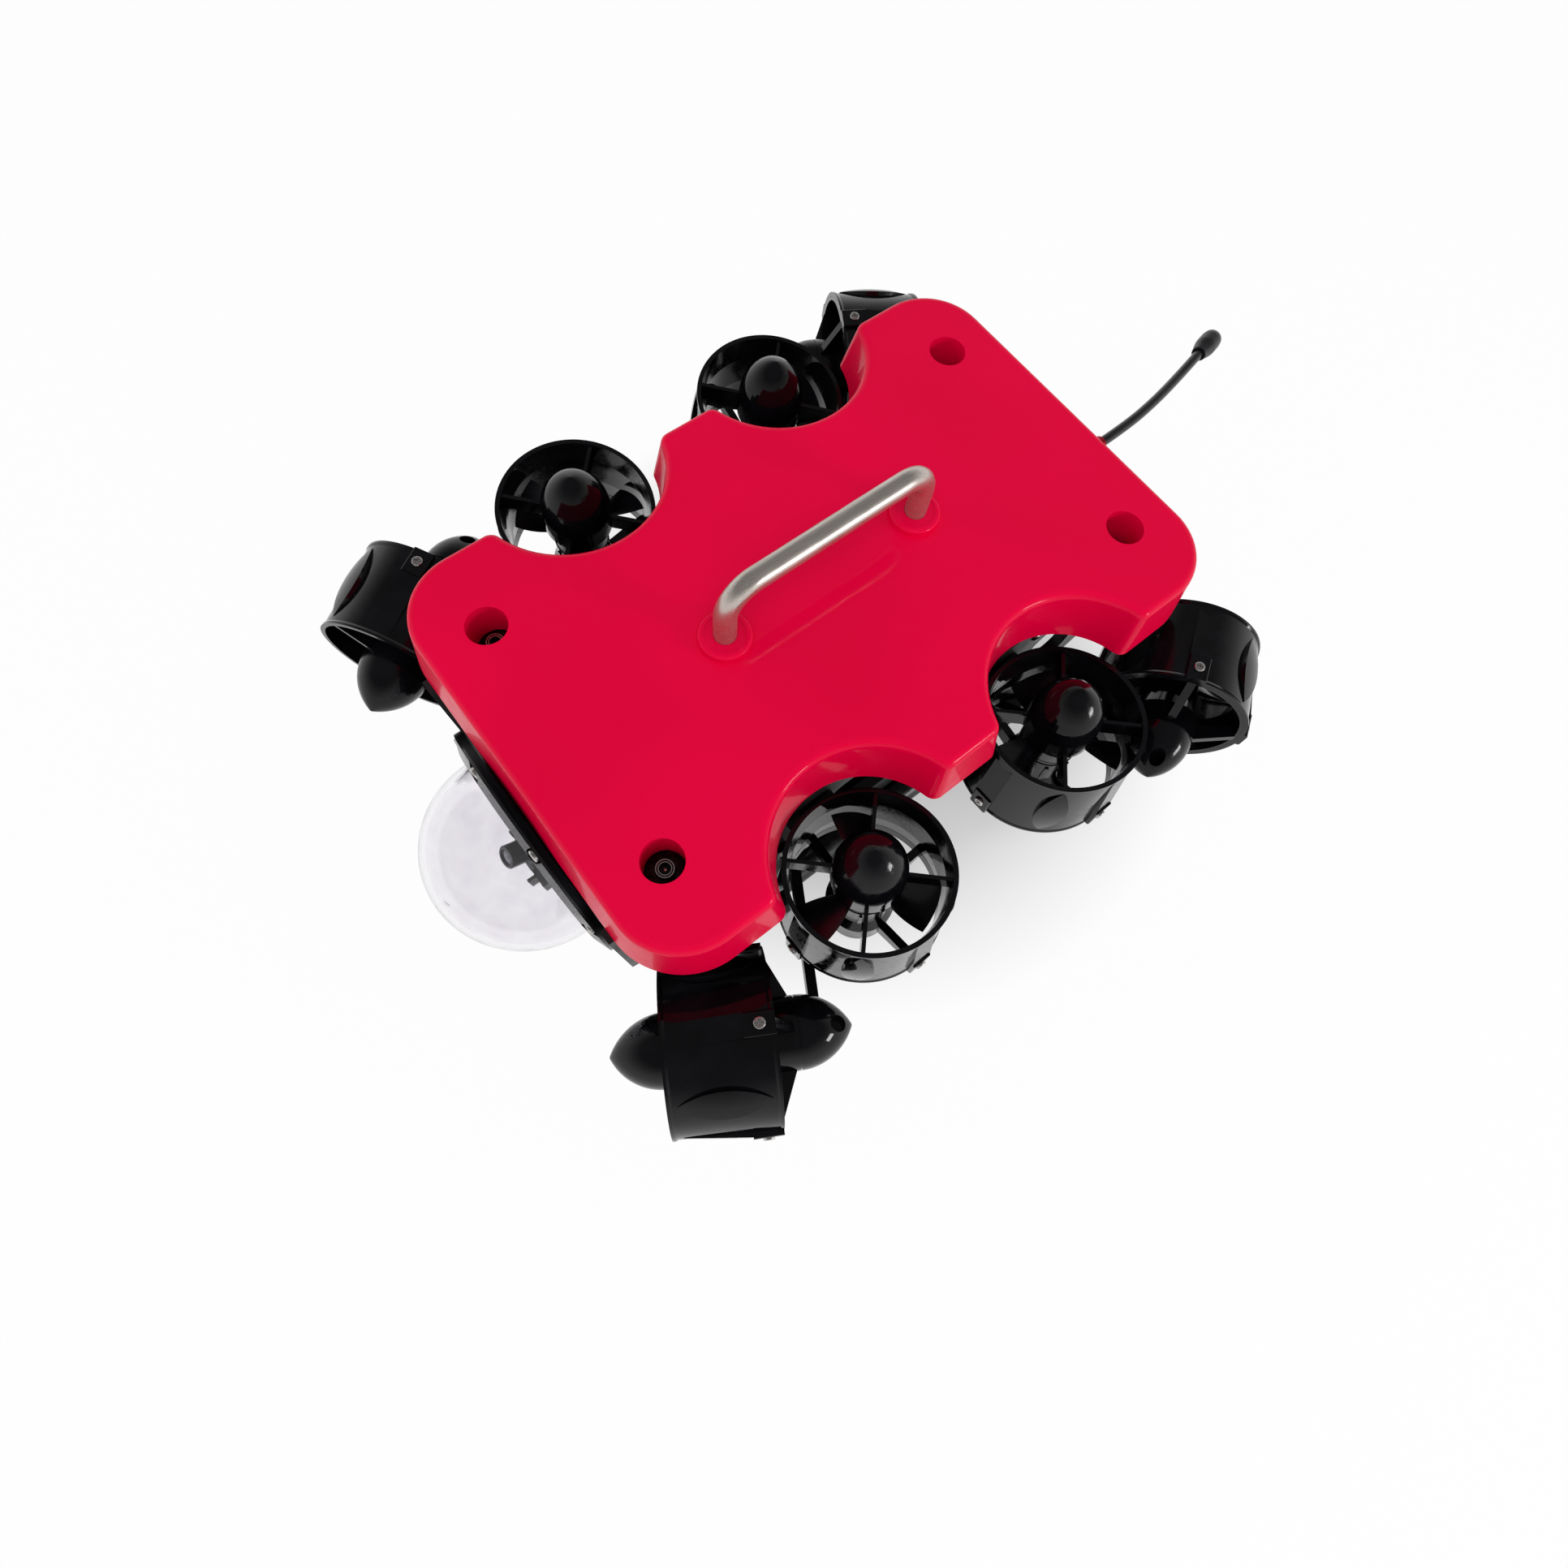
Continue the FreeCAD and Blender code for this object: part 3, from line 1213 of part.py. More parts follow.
def tether_route():
    """Corners of the pigtail's route, from the gland to the connector."""
    wall = num.float_length / 2 + num.float_bevel + num.wall_rake
    exit_x = -(wall + num.tether_gland_reach - num.wall_rake + 1)
    exit_z = num.float_top - num.tether_drop
    steps = ((0, 0, 0), (-24, 0, 0), (-52, -3, -0.6), (-80, -8, -1.2), (-104, -13, -1))
    return [at(exit_x + x, num.tether_abeam + y, exit_z + z) for x, y, z in steps]


def rounded_route(corners):
    """Straight runs joined by tangent arcs, and the arc radii."""
    edges = []
    radii = []
    start = corners[0]
    for before, corner, after in zip(corners, corners[1:], corners[2:]):
        back, ahead = before - corner, after - corner
        turn = math.pi - back.getAngle(ahead)
        tangent = 0.45 * min(back.Length, ahead.Length)
        radius = tangent / math.tan(turn / 2)
        back.normalize()
        ahead.normalize()
        inward = back + ahead
        inward.normalize()
        middle = corner + inward * (radius / math.cos(turn / 2) - radius)
        first, last = corner + back * tangent, corner + ahead * tangent
        edges.append(Part.LineSegment(start, first).toShape())
        edges.append(Part.Arc(first, middle, last).toShape())
        radii.append(radius)
        start = last
    edges.append(Part.LineSegment(start, corners[-1]).toShape())
    return Part.Wire(edges), radii


def make_tether():
    """Red gland in the float's stern, the stiff pigtail and its connector."""
    corners = tether_route()
    exit_point = corners[0]
    inside = num.tether_gland_radius * 5
    gland = rod(num.tether_gland_radius, exit_point + Vector(num.tether_gland_reach + inside, 0, 0),
                exit_point)
    shape_node("tether_gland", gland)
    wire, radii = rounded_route(corners)
    radius = num.tether_diameter / 2
    start = corners[1] - corners[0]
    ring = Part.Wire([Part.makeCircle(radius, corners[0], start)])
    tube = wire.makePipeShell([ring], True, False)
    expected = math.pi * radius ** 2 * wire.Length
    print("tether radii", [round(value) for value in radii], "length", round(wire.Length, 1),
          "volume ratio", round(tube.Volume / expected, 4))
    shape_node("tether_cable", tube)
    lay = corners[-1] - corners[-2]
    lay.normalize()
    wide, long = num.connector_radius, num.connector_length
    shell = Part.makeCylinder(wide, long)
    shell = shell.makeFillet(wide * 0.3, [edge for edge in shell.Edges
                                          if isinstance(edge.Curve, Part.Circle)])
    socket = Part.makeCylinder(wide * 0.6, long * 0.3, Vector(0, 0, long * 0.7))
    shell = shell.cut(socket)
    turn = Rotation(Vector(0, 0, 1), lay)
    shape_node("tether_connector", shell, Placement(corners[-1], turn))


# ---------------------------------------------------------------- build and export

def check_document():
    """Stops on any failed object or bad shape."""
    for item in doc.Objects:
        if "Invalid" in item.State or "Error" in item.State:
            raise RuntimeError("failed object: %s %s" % (item.Name, item.State))
    for item in nodes:
        if item.Shape.isNull() or not item.Shape.isValid() or not item.Shape.Solids:
            raise RuntimeError("bad shape: %s" % item.Label)


def main():
    make_float()
    make_handle()
    make_bolts()
    make_deck()
    for side, sy in PORT_AND_STARBOARD:
        make_side_plate(side, sy)
    make_rails()
    for end, sx in BOW_AND_STERN:
        make_bulkhead(end, sx)
    make_payload_plate()
    make_struts(make_thrusters())
    make_cradles()
    make_tube()
    make_front_flange()
    make_dome()
    make_dome_ring()
    make_dome_screws()
    make_rear_cap()
    make_seals()
    make_glands()
    make_tray()
    make_inside()
    make_camera()
    make_tether()
    doc.recompute()
    check_document()
    os.makedirs("parts", exist_ok=True)
    for item in nodes:
        item.Shape.exportStep("parts/%s.step" % item.Label)
    print(len(nodes), "nodes")


main()
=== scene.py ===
import json
import math

import bmesh
import bpy
from mathutils import Matrix, Quaternion, Vector


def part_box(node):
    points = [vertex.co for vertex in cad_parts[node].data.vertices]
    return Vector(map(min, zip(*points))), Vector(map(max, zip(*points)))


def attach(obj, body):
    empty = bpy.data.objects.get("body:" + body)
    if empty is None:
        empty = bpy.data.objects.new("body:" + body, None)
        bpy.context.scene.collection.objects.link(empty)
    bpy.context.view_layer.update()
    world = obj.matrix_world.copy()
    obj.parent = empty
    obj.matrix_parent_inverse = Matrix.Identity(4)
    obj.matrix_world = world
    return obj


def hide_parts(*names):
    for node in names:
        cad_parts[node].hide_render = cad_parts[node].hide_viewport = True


# Finishes, small fittings, tether and studio for the underwater inspection vehicle.
# Metres; +X is the bow, +Y is port, +Z is up; the ground is at z = 0.

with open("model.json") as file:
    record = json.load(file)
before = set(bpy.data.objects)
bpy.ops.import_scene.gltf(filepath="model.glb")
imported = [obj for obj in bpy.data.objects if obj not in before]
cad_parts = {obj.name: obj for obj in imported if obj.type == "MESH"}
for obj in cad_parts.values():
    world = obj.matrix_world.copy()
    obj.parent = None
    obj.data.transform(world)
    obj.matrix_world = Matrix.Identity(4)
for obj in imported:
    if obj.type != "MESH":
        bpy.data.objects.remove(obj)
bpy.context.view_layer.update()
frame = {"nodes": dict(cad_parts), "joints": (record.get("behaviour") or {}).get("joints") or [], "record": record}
nodes = frame["nodes"]
MM = 0.001
HULL = "vehicle"
PORT_AND_STARBOARD = (1, -1)
BOW_AND_STERN = (1, -1)
MIDSHIPS = (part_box("deck_plate")[0][0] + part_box("deck_plate")[1][0]) / 2
TUBE_AXIS = (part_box("dome_ring")[0][2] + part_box("dome_ring")[1][2]) / 2
PLATE_FACE = max(abs(corner[1]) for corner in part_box("side_plate_port"))
WASHER_RADIUS, WASHER_THICKNESS = 10.5, 1.5
BOLT_HEAD = 6.0
BUTTON_SLOPE = ((0.4, 1, 0.82), (0.25, 0.82, 0.55))
CAMERA_RISE = math.radians(33)

# Radians by which each screw's recess is turned on from the last one's.
TAB_SCREW_TURN, RING_SCREW_TURN, FLOAT_BOLT_TURN = 0.6, 0.7, 0.4


# ---------------------------------------------------------------- camera

def place_camera():
    """Camera high over the port bow, looking down at the float."""
    spot, aim = Vector((0.1683, 0.1591, 0.5592)), Vector((0.0625, 0.0706, 0.150))
    bpy.ops.object.camera_add(location=spot)
    camera = bpy.context.object
    camera.name = "camera"
    focal_mm, roll_degrees = 18.66, 12.64
    camera.data.lens = focal_mm
    camera.data.clip_start = 0.01
    level = (aim - spot).to_track_quat("-Z", "Y")
    camera.rotation_euler = (level @ Quaternion((0, 0, 1), math.radians(roll_degrees))).to_euler()
    bpy.context.scene.camera = camera


# ---------------------------------------------------------------- tether

TETHER_ROUTE = ((-214.3, 21, 176), (-238.3, 21, 176), (-266.3, 18, 175.4), (-294.3, 13, 174.8),
                (-318.3, 8, 175))
TETHER_DIAMETER = 6.0


def lay_tether():
    """Stiff pigtail from the red gland to its connector."""
    curve = bpy.data.curves.new("tether", "CURVE")
    curve.dimensions = "3D"
    curve.bevel_depth = TETHER_DIAMETER / 2 * MM
    curve.bevel_resolution = 6
    curve.resolution_u = 24
    curve.use_fill_caps = True
    spline = curve.splines.new("NURBS")
    spline.points.add(len(TETHER_ROUTE) - 1)
    for point, corner in zip(spline.points, TETHER_ROUTE):
        point.co = (*(value * MM for value in corner), 1)
    spline.order_u = 3
    spline.use_endpoint_u = True
    tether = bpy.data.objects.new("tether", curve)
    bpy.context.scene.collection.objects.link(tether)
    finish(tether, "cable_rubber")
    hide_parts("tether_cable")
    boot = tether_boot()


# ---------------------------------------------------------------- materials

def linear(hex_colour):
    """sRGB hex to the linear colour that shaders take."""
    out = []
    for start in (0, 2, 4):
        value = int(hex_colour[start:start + 2], 16) / 255
        out.append(value / 12.92 if value <= 0.04045 else ((value + 0.055) / 1.055) ** 2.4)
    return (*out, 1.0)


def add(tree, kind, inputs=None, stops=(), **settings):
    """Adds a shader node; an input takes a value, a node's first output or a given output."""
    made = tree.nodes.new("ShaderNode" + kind)
    for name, value in settings.items():
        setattr(made, name, value)
    for stop, (where, colour) in enumerate(stops):
        made.color_ramp.elements[stop].position = where
        made.color_ramp.elements[stop].color = linear(colour)
    for socket, value in (inputs or {}).items():
        if isinstance(value, bpy.types.Node):
            value = value.outputs[0]
        if isinstance(value, bpy.types.NodeSocket):
            tree.links.new(value, made.inputs[socket])
        else:
            made.inputs[socket].default_value = value
    return made


def start_material(name):
    """An empty material, its tree and the piece's own coordinates in metres."""
    made = bpy.data.materials.new(name)
    made.use_nodes = True
    tree = made.node_tree
    tree.nodes.clear()
    return made, tree, add(tree, "TexCoord").outputs["Object"]


def per_mm(size):
    """Texture scale that makes one lump or line about this many millimetres."""
    return 1 / (size * MM)


def clear_coated_foam():
    """Closed-cell foam, filled, sprayed crimson and clear-coated: wet gloss with a faint orange
    peel over slow hand-sanded waves, and a colour that drifts a little across the block."""
    made, tree, place = start_material("clear-coated foam")
    cloud = add(tree, "TexNoise", {"Vector": place, "Scale": per_mm(110), "Detail": 1.0})
    colour = add(tree, "ValToRGB", {"Fac": cloud}, ((0.3, "dc0037"), (0.7, "e8003e")))
    waves = add(tree, "TexNoise", {"Vector": place, "Scale": per_mm(34), "Detail": 1.0})
    peel = add(tree, "TexNoise", {"Vector": place, "Scale": per_mm(1.8), "Detail": 1.0})
    sanded = add(tree, "Bump", {"Height": waves, "Distance": 0.25 * MM, "Strength": 0.8})
    lacquer = add(tree, "Bump", {"Height": peel, "Distance": 0.006 * MM, "Normal": sanded})
    dust = add(tree, "TexNoise", {"Vector": place, "Scale": per_mm(9), "Detail": 5.0})
    dull = add(tree, "MapRange", {"Value": dust, "From Min": 0.45, "From Max": 0.7,
                                  "To Min": 0.34, "To Max": 0.44})
    shader = add(tree, "BsdfPrincipled", {
        "Base Color": colour, "Roughness": dull, "IOR": 1.46, "Specular IOR Level": 0.03,
        "Coat Weight": 0.24, "Coat Roughness": 0.06, "Coat IOR": 1.45, "Coat Normal": lacquer,
        "Normal": sanded})
    add(tree, "OutputMaterial", {"Surface": shader})
    return made


def polished_abs():
    """ABS straight from a polished mould: deep black and mirror-like, with slow sink waves,
    flow marks round the ribs and a haze of handling scuffs."""
    made, tree, place = start_material("polished ABS")
    flow = add(tree, "TexNoise", {"Vector": place, "Scale": per_mm(26), "Detail": 3.0,
                                  "Distortion": 0.8})
    colour = add(tree, "ValToRGB", {"Fac": flow}, ((0.35, "050507"), (0.65, "0b0a0e")))
    scuff = add(tree, "TexNoise", {"Vector": place, "Scale": per_mm(2.2), "Detail": 6.0})
    both = add(tree, "Math", {0: flow, 1: scuff}, operation="MULTIPLY")
    gloss = add(tree, "MapRange", {"Value": both, "From Min": 0.2, "From Max": 0.42,
                                   "To Min": 0.07, "To Max": 0.26})
    sink = add(tree, "TexNoise", {"Vector": place, "Scale": per_mm(15), "Detail": 1.0})
    waves = add(tree, "Bump", {"Height": sink, "Distance": 0.12 * MM, "Strength": 0.7})
    shader = add(tree, "BsdfPrincipled", {"Base Color": colour, "Roughness": gloss, "IOR": 1.5,
                                          "Specular IOR Level": 0.25, "Normal": waves})
    add(tree, "OutputMaterial", {"Surface": shader})
    return made


def filled_nylon():
    """Glass-filled nylon, moulded: satin black, with fibres that just roughen the skin (drawn
    coarser than the real 0.1 mm so that they show)."""
    made, tree, place = start_material("glass-filled nylon")
    fibre = add(tree, "TexNoise", {"Vector": place, "Scale": per_mm(0.9), "Detail": 4.0,
                                   "Distortion": 1.5})
    haze = add(tree, "TexNoise", {"Vector": place, "Scale": per_mm(16), "Detail": 3.0})
    colour = add(tree, "ValToRGB", {"Fac": haze}, ((0.35, "07070a"), (0.65, "100e13")))
    satin = add(tree, "MapRange", {"Value": haze, "From Min": 0.3, "From Max": 0.7,
                                   "To Min": 0.2, "To Max": 0.34})
    skin = add(tree, "Bump", {"Height": fibre, "Distance": 0.015 * MM, "Strength": 0.6})
    shader = add(tree, "BsdfPrincipled", {"Base Color": colour, "Roughness": satin, "IOR": 1.53,
                                          "Normal": skin})
    add(tree, "OutputMaterial", {"Surface": shader})
    return made


def linished_rod():
    """Stainless rod, bent and linished by belt: warm grey, fine scratches along the bar
    and smears of fingerprints."""
    made, tree, place = start_material("linished stainless rod")
    along = add(tree, "Mapping", {"Vector": place, "Scale": (0.03, 1, 1)})
    belt = add(tree, "TexNoise", {"Vector": along, "Scale": per_mm(0.5), "Detail": 3.0})
    colour = add(tree, "ValToRGB", {"Fac": belt}, ((0.3, "b5aba3"), (0.7, "cfc8c1")))
    smear = add(tree, "TexNoise", {"Vector": place, "Scale": per_mm(11), "Detail": 4.0})
    satin = add(tree, "MapRange", {"Value": smear, "From Min": 0.35, "From Max": 0.65,
                                   "To Min": 0.24, "To Max": 0.36})
    scratch = add(tree, "Bump", {"Height": belt, "Distance": 0.0015 * MM, "Strength": 0.5})
    shader = add(tree, "BsdfPrincipled", {"Base Color": colour, "Roughness": satin,
                                          "Metallic": 0.85, "Normal": scratch})
    add(tree, "OutputMaterial", {"Surface": shader})
    return made


def cold_headed_stainless():
    """Cold-headed stainless screw: grey and satin, its tone and gloss varying with a fine grain."""
    made, tree, place = start_material("cold-headed stainless")
    grain = add(tree, "TexNoise", {"Vector": place, "Scale": per_mm(0.8), "Detail": 4.0})
    colour = add(tree, "ValToRGB", {"Fac": grain}, ((0.3, "a9a5a2"), (0.7, "dcd8d5")))
    satin = add(tree, "MapRange", {"Value": grain, "From Min": 0.3, "From Max": 0.7,
                                   "To Min": 0.22, "To Max": 0.4})
    skin = add(tree, "Bump", {"Height": grain, "Distance": 0.01 * MM, "Strength": 0.5})
    shader = add(tree, "BsdfPrincipled", {"Base Color": colour, "Roughness": satin,
                                          "Metallic": 1.0, "Normal": skin})
    add(tree, "OutputMaterial", {"Surface": shader})
    return made


def black_oxide():
    """Black-oxided steel: oily charcoal, satin, with brown-grey patches."""
    made, tree, place = start_material("black-oxided steel")
    patch = add(tree, "TexNoise", {"Vector": place, "Scale": per_mm(3), "Detail": 4.0})
    colour = add(tree, "ValToRGB", {"Fac": patch}, ((0.35, "1a1a1c"), (0.65, "363438")))
    satin = add(tree, "MapRange", {"Value": patch, "From Min": 0.3, "From Max": 0.7,
                                   "To Min": 0.22, "To Max": 0.4})
    shader = add(tree, "BsdfPrincipled", {"Base Color": colour, "Roughness": satin,
                                          "Metallic": 1.0})
    add(tree, "OutputMaterial", {"Surface": shader})
    return made


def milled_hdpe():
    """HDPE sheet cut on a router: dull black, waxy, with cutter ripple (0.8 mm steps, as the
    real ones) and pale handling scratches."""
    made, tree, place = start_material("milled HDPE sheet")
    haze = add(tree, "TexNoise", {"Vector": place, "Scale": per_mm(32), "Detail": 4.0})
    colour = add(tree, "ValToRGB", {"Fac": haze}, ((0.35, "0c0c0e"), (0.65, "151416")))
    wax = add(tree, "MapRange", {"Value": haze, "From Min": 0.3, "From Max": 0.7,
                                 "To Min": 0.38, "To Max": 0.55})
    ripple = add(tree, "TexNoise", {"Vector": place, "Scale": per_mm(0.8), "Detail": 3.0})
    cut = add(tree, "Bump", {"Height": ripple, "Distance": 0.02 * MM, "Strength": 0.6})
    shader = add(tree, "BsdfPrincipled", {"Base Color": colour, "Roughness": wax, "IOR": 1.54,
                                          "Normal": cut})
    add(tree, "OutputMaterial", {"Surface": shader})
    return made


def extruded_hdpe():
    """Extruded HDPE bar: black, waxy, drawn lines along its length and scuffed by the ground."""
    made, tree, place = start_material("extruded HDPE bar")
    along = add(tree, "Mapping", {"Vector": place, "Scale": (0.02, 1, 1)})
    drawn = add(tree, "TexNoise", {"Vector": along, "Scale": per_mm(0.9), "Detail": 3.0})
    scuff = add(tree, "TexNoise", {"Vector": place, "Scale": per_mm(6), "Detail": 6.0})
    colour = add(tree, "ValToRGB", {"Fac": scuff}, ((0.45, "0b0b0d"), (0.8, "242326")))
    wax = add(tree, "MapRange", {"Value": scuff, "From Min": 0.35, "From Max": 0.7,
                                 "To Min": 0.3, "To Max": 0.55})
    lines = add(tree, "Bump", {"Height": drawn, "Distance": 0.03 * MM, "Strength": 0.5})
    shader = add(tree, "BsdfPrincipled", {"Base Color": colour, "Roughness": wax, "IOR": 1.54,
                                          "Normal": lines})
    add(tree, "OutputMaterial", {"Surface": shader})
    return made


def black_anodised(name, tone, lines_mm):
    """Turned aluminium, sealed black anodising: dark grey metal with lathe lines (drawn coarser
    than the real 0.1 mm feed so that they show)."""
    made, tree, place = start_material(name)
    round_tube = add(tree, "Mapping", {"Vector": place, "Scale": (1, 0.04, 0.04)})
    lathe = add(tree, "TexNoise", {"Vector": round_tube, "Scale": per_mm(lines_mm),
                                   "Detail": 3.0})
    colour = add(tree, "ValToRGB", {"Fac": lathe}, ((0.35, tone[0]), (0.65, tone[1])))
    haze = add(tree, "TexNoise", {"Vector": place, "Scale": per_mm(24), "Detail": 4.0})
    satin = add(tree, "MapRange", {"Value": haze, "From Min": 0.3, "From Max": 0.7,
                                   "To Min": 0.24, "To Max": 0.4})
    feed = add(tree, "Bump", {"Height": lathe, "Distance": 0.01 * MM, "Strength": 0.5})
    shader = add(tree, "BsdfPrincipled", {"Base Color": colour, "Roughness": satin,
                                          "Metallic": 0.9, "Normal": feed})
    add(tree, "OutputMaterial", {"Surface": shader})
    return made


def polished_acetal():
    """Acetal ring, turned and polished: black with a soft sheen and faint turning rings."""
    made, tree, place = start_material("polished acetal")
    haze = add(tree, "TexNoise", {"Vector": place, "Scale": per_mm(20), "Detail": 4.0})
    colour = add(tree, "ValToRGB", {"Fac": haze}, ((0.35, "0a0b0c"), (0.65, "131416")))
    sheen = add(tree, "MapRange", {"Value": haze, "From Min": 0.3, "From Max": 0.7,
                                   "To Min": 0.18, "To Max": 0.34})
    rings = add(tree, "TexNoise", {"Vector": place, "Scale": per_mm(1.2), "Detail": 2.0})
    turned = add(tree, "Bump", {"Height": rings, "Distance": 0.012 * MM, "Strength": 0.5})
    shader = add(tree, "BsdfPrincipled", {"Base Color": colour, "Roughness": sheen, "IOR": 1.48,
                                          "Normal": turned})
    add(tree, "OutputMaterial", {"Surface": shader})
    return made


def blown_acrylic():
    """Acrylic sheet blown to a dome: water-clear, polished, with slow ripples and dust haze."""
    made, tree, place = start_material("blown acrylic")
    haze = add(tree, "TexNoise", {"Vector": place, "Scale": per_mm(14), "Detail": 5.0})
    colour = add(tree, "ValToRGB", {"Fac": haze}, ((0.3, "f1eef3"), (0.7, "fbfafc")))
    dust = add(tree, "MapRange", {"Value": haze, "From Min": 0.4, "From Max": 0.75,
                                  "To Min": 0.01, "To Max": 0.09})
    slow = add(tree, "TexNoise", {"Vector": place, "Scale": per_mm(30), "Detail": 1.0})
    ripple = add(tree, "Bump", {"Height": slow, "Distance": 0.1 * MM, "Strength": 0.5})
    shader = add(tree, "BsdfPrincipled", {"Base Color": colour, "Roughness": dust, "IOR": 1.49,
                                          "Transmission Weight": 1.0, "Normal": ripple})
    add(tree, "OutputMaterial", {"Surface": shader})
    return made


def red_anodised():
    """Machined aluminium, dyed red: saturated metal that catches light on its edges."""
    made, tree, place = start_material("red-anodised aluminium")
    grain = add(tree, "TexNoise", {"Vector": place, "Scale": per_mm(1.0), "Detail": 4.0})
    colour = add(tree, "ValToRGB", {"Fac": grain}, ((0.3, "98101f"), (0.7, "c4182c")))
    satin = add(tree, "MapRange", {"Value": grain, "From Min": 0.3, "From Max": 0.7,
                                   "To Min": 0.26, "To Max": 0.42})
    shader = add(tree, "BsdfPrincipled", {"Base Color": colour, "Roughness": satin,
                                          "Metallic": 0.8})
    add(tree, "OutputMaterial", {"Surface": shader})
    return made


def moulded_rubber(name, tone, grain_mm, sheen):
    """Polyurethane or nitrile rubber, moulded or extruded: charcoal black, soft sheen, fine
    pebbling (drawn coarser than real so that it shows)."""
    made, tree, place = start_material(name)
    haze = add(tree, "TexNoise", {"Vector": place, "Scale": per_mm(9), "Detail": 4.0})
    colour = add(tree, "ValToRGB", {"Fac": haze}, ((0.35, tone[0]), (0.65, tone[1])))
    soft = add(tree, "MapRange", {"Value": haze, "From Min": 0.3, "From Max": 0.7,
                                  "To Min": sheen[0], "To Max": sheen[1]})
    pebble = add(tree, "TexNoise", {"Vector": place, "Scale": per_mm(grain_mm), "Detail": 3.0})
    skin = add(tree, "Bump", {"Height": pebble, "Distance": 0.01 * MM, "Strength": 0.4})
    shader = add(tree, "BsdfPrincipled", {"Base Color": colour, "Roughness": soft, "IOR": 1.5,
                                          "Normal": skin})
    add(tree, "OutputMaterial", {"Surface": shader})
    return made


def sheet_plastic(name, tone, grain_mm, satin):
    """Machined or wrapped plastic inside the tube: plain colour, satin, faintly grained."""
    made, tree, place = start_material(name)
    haze = add(tree, "TexNoise", {"Vector": place, "Scale": per_mm(20), "Detail": 4.0})
    colour = add(tree, "ValToRGB", {"Fac": haze}, ((0.35, tone[0]), (0.65, tone[1])))
    sheen = add(tree, "MapRange", {"Value": haze, "From Min": 0.3, "From Max": 0.7,
                                   "To Min": satin[0], "To Max": satin[1]})
    grain = add(tree, "TexNoise", {"Vector": place, "Scale": per_mm(grain_mm), "Detail": 3.0})
    skin = add(tree, "Bump", {"Height": grain, "Distance": 0.03 * MM, "Strength": 0.5})
    shader = add(tree, "BsdfPrincipled", {"Base Color": colour, "Roughness": sheen, "IOR": 1.49,
                                          "Normal": skin})
    add(tree, "OutputMaterial", {"Surface": shader})
    return made


def solder_mask():
    """Glass-fibre board under green solder mask, its copper tracks just showing through."""
    made, tree, place = start_material("solder mask")
    tracks = add(tree, "TexBrick", {"Vector": place, "Scale": per_mm(7), "Mortar Size": 0.03,
                                    "Color1": linear("0d5a2c"), "Color2": linear("0a4a25"),
                                    "Mortar": linear("3f8f4f")})
    gloss = add(tree, "TexNoise", {"Vector": place, "Scale": per_mm(5), "Detail": 3.0})
    sheen = add(tree, "MapRange", {"Value": gloss, "To Min": 0.25, "To Max": 0.4})
    shader = add(tree, "BsdfPrincipled", {"Base Color": tracks, "Roughness": sheen, "IOR": 1.5})
    add(tree, "OutputMaterial", {"Surface": shader})
    return made


def coated_lens():
    """Lens glass with an anti-reflex coating: near black, violet bloom, mirror smooth."""
    made, tree, place = start_material("coated lens glass")
    bloom = add(tree, "TexNoise", {"Vector": place, "Scale": per_mm(6), "Detail": 1.0})
    colour = add(tree, "ValToRGB", {"Fac": bloom}, ((0.35, "06070c"), (0.65, "1a1630")))
    shader = add(tree, "BsdfPrincipled", {"Base Color": colour, "Roughness": 0.03, "IOR": 1.6,
                                          "Coat Weight": 1.0, "Coat Roughness": 0.02})
    add(tree, "OutputMaterial", {"Surface": shader})
    return made


# One finish for each material slot of the record, and for the pieces that are made here.
MATERIALS = {
    "float_red": clear_coated_foam(),
    "thruster_black": polished_abs(),
    "propeller_black": filled_nylon(),
    "stainless": linished_rod(),
    "bolt_black": black_oxide(),
    "screw_steel": cold_headed_stainless(),
    "frame_black": milled_hdpe(),
    "rail_black": extruded_hdpe(),
    "strut_metal": black_anodised("anodised strut", ("0c0c0f", "18181c"), 1.2),
    "tube_metal": black_anodised("anodised tube", ("0a0a0d", "151519"), 0.8),
    "flange_metal": black_anodised("anodised flange", ("0d0d10", "1a1a1e"), 0.6),
    "ring_black": polished_acetal(),
    "acrylic_clear": blown_acrylic(),
    "gland_red": red_anodised(),
    "cable_rubber": moulded_rubber("polyurethane jacket", ("101012", "19191c"), 0.9, (0.14, 0.24)),
    "connector_rubber": moulded_rubber("moulded boot", ("18181b", "232326"), 1.3, (0.3, 0.45)),
    "seal_rubber": moulded_rubber("nitrile rubber", ("0b0b0b", "131313"), 0.8, (0.35, 0.5)),
    "tray_white": sheet_plastic("white acetal sheet", ("d2d0cb", "e6e4df"), 0.8, (0.4, 0.55)),
    "battery_blue": sheet_plastic("heat-shrink wrap", ("0c2a6e", "143a8c"), 2.0, (0.25, 0.4)),
    "board_green": solder_mask(),
    "camera_black": sheet_plastic("moulded camera shell", ("121214", "1e1e21"), 0.7, (0.3, 0.45)),
    "lens_glass": coated_lens(),
    "bracket_black": sheet_plastic("printed nylon", ("0f0f11", "1b1b1e"), 0.5, (0.4, 0.6)),
    "servo_black": sheet_plastic("servo case", ("0c0c0e", "161618"), 0.9, (0.35, 0.5)),
}


def dress_cad_nodes():
    for entry in frame["record"]["subparts"]:
        mesh = nodes[entry["node"]].data
        mesh.materials.clear()
        mesh.materials.append(MATERIALS[entry["material_slot"]])


def finish(obj, slot, body=HULL):
    """Gives a piece its finish and hangs it on its body."""
    obj.data.materials.clear()
    obj.data.materials.append(MATERIALS[slot])
    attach(obj, body)


# ---------------------------------------------------------------- modelling helpers

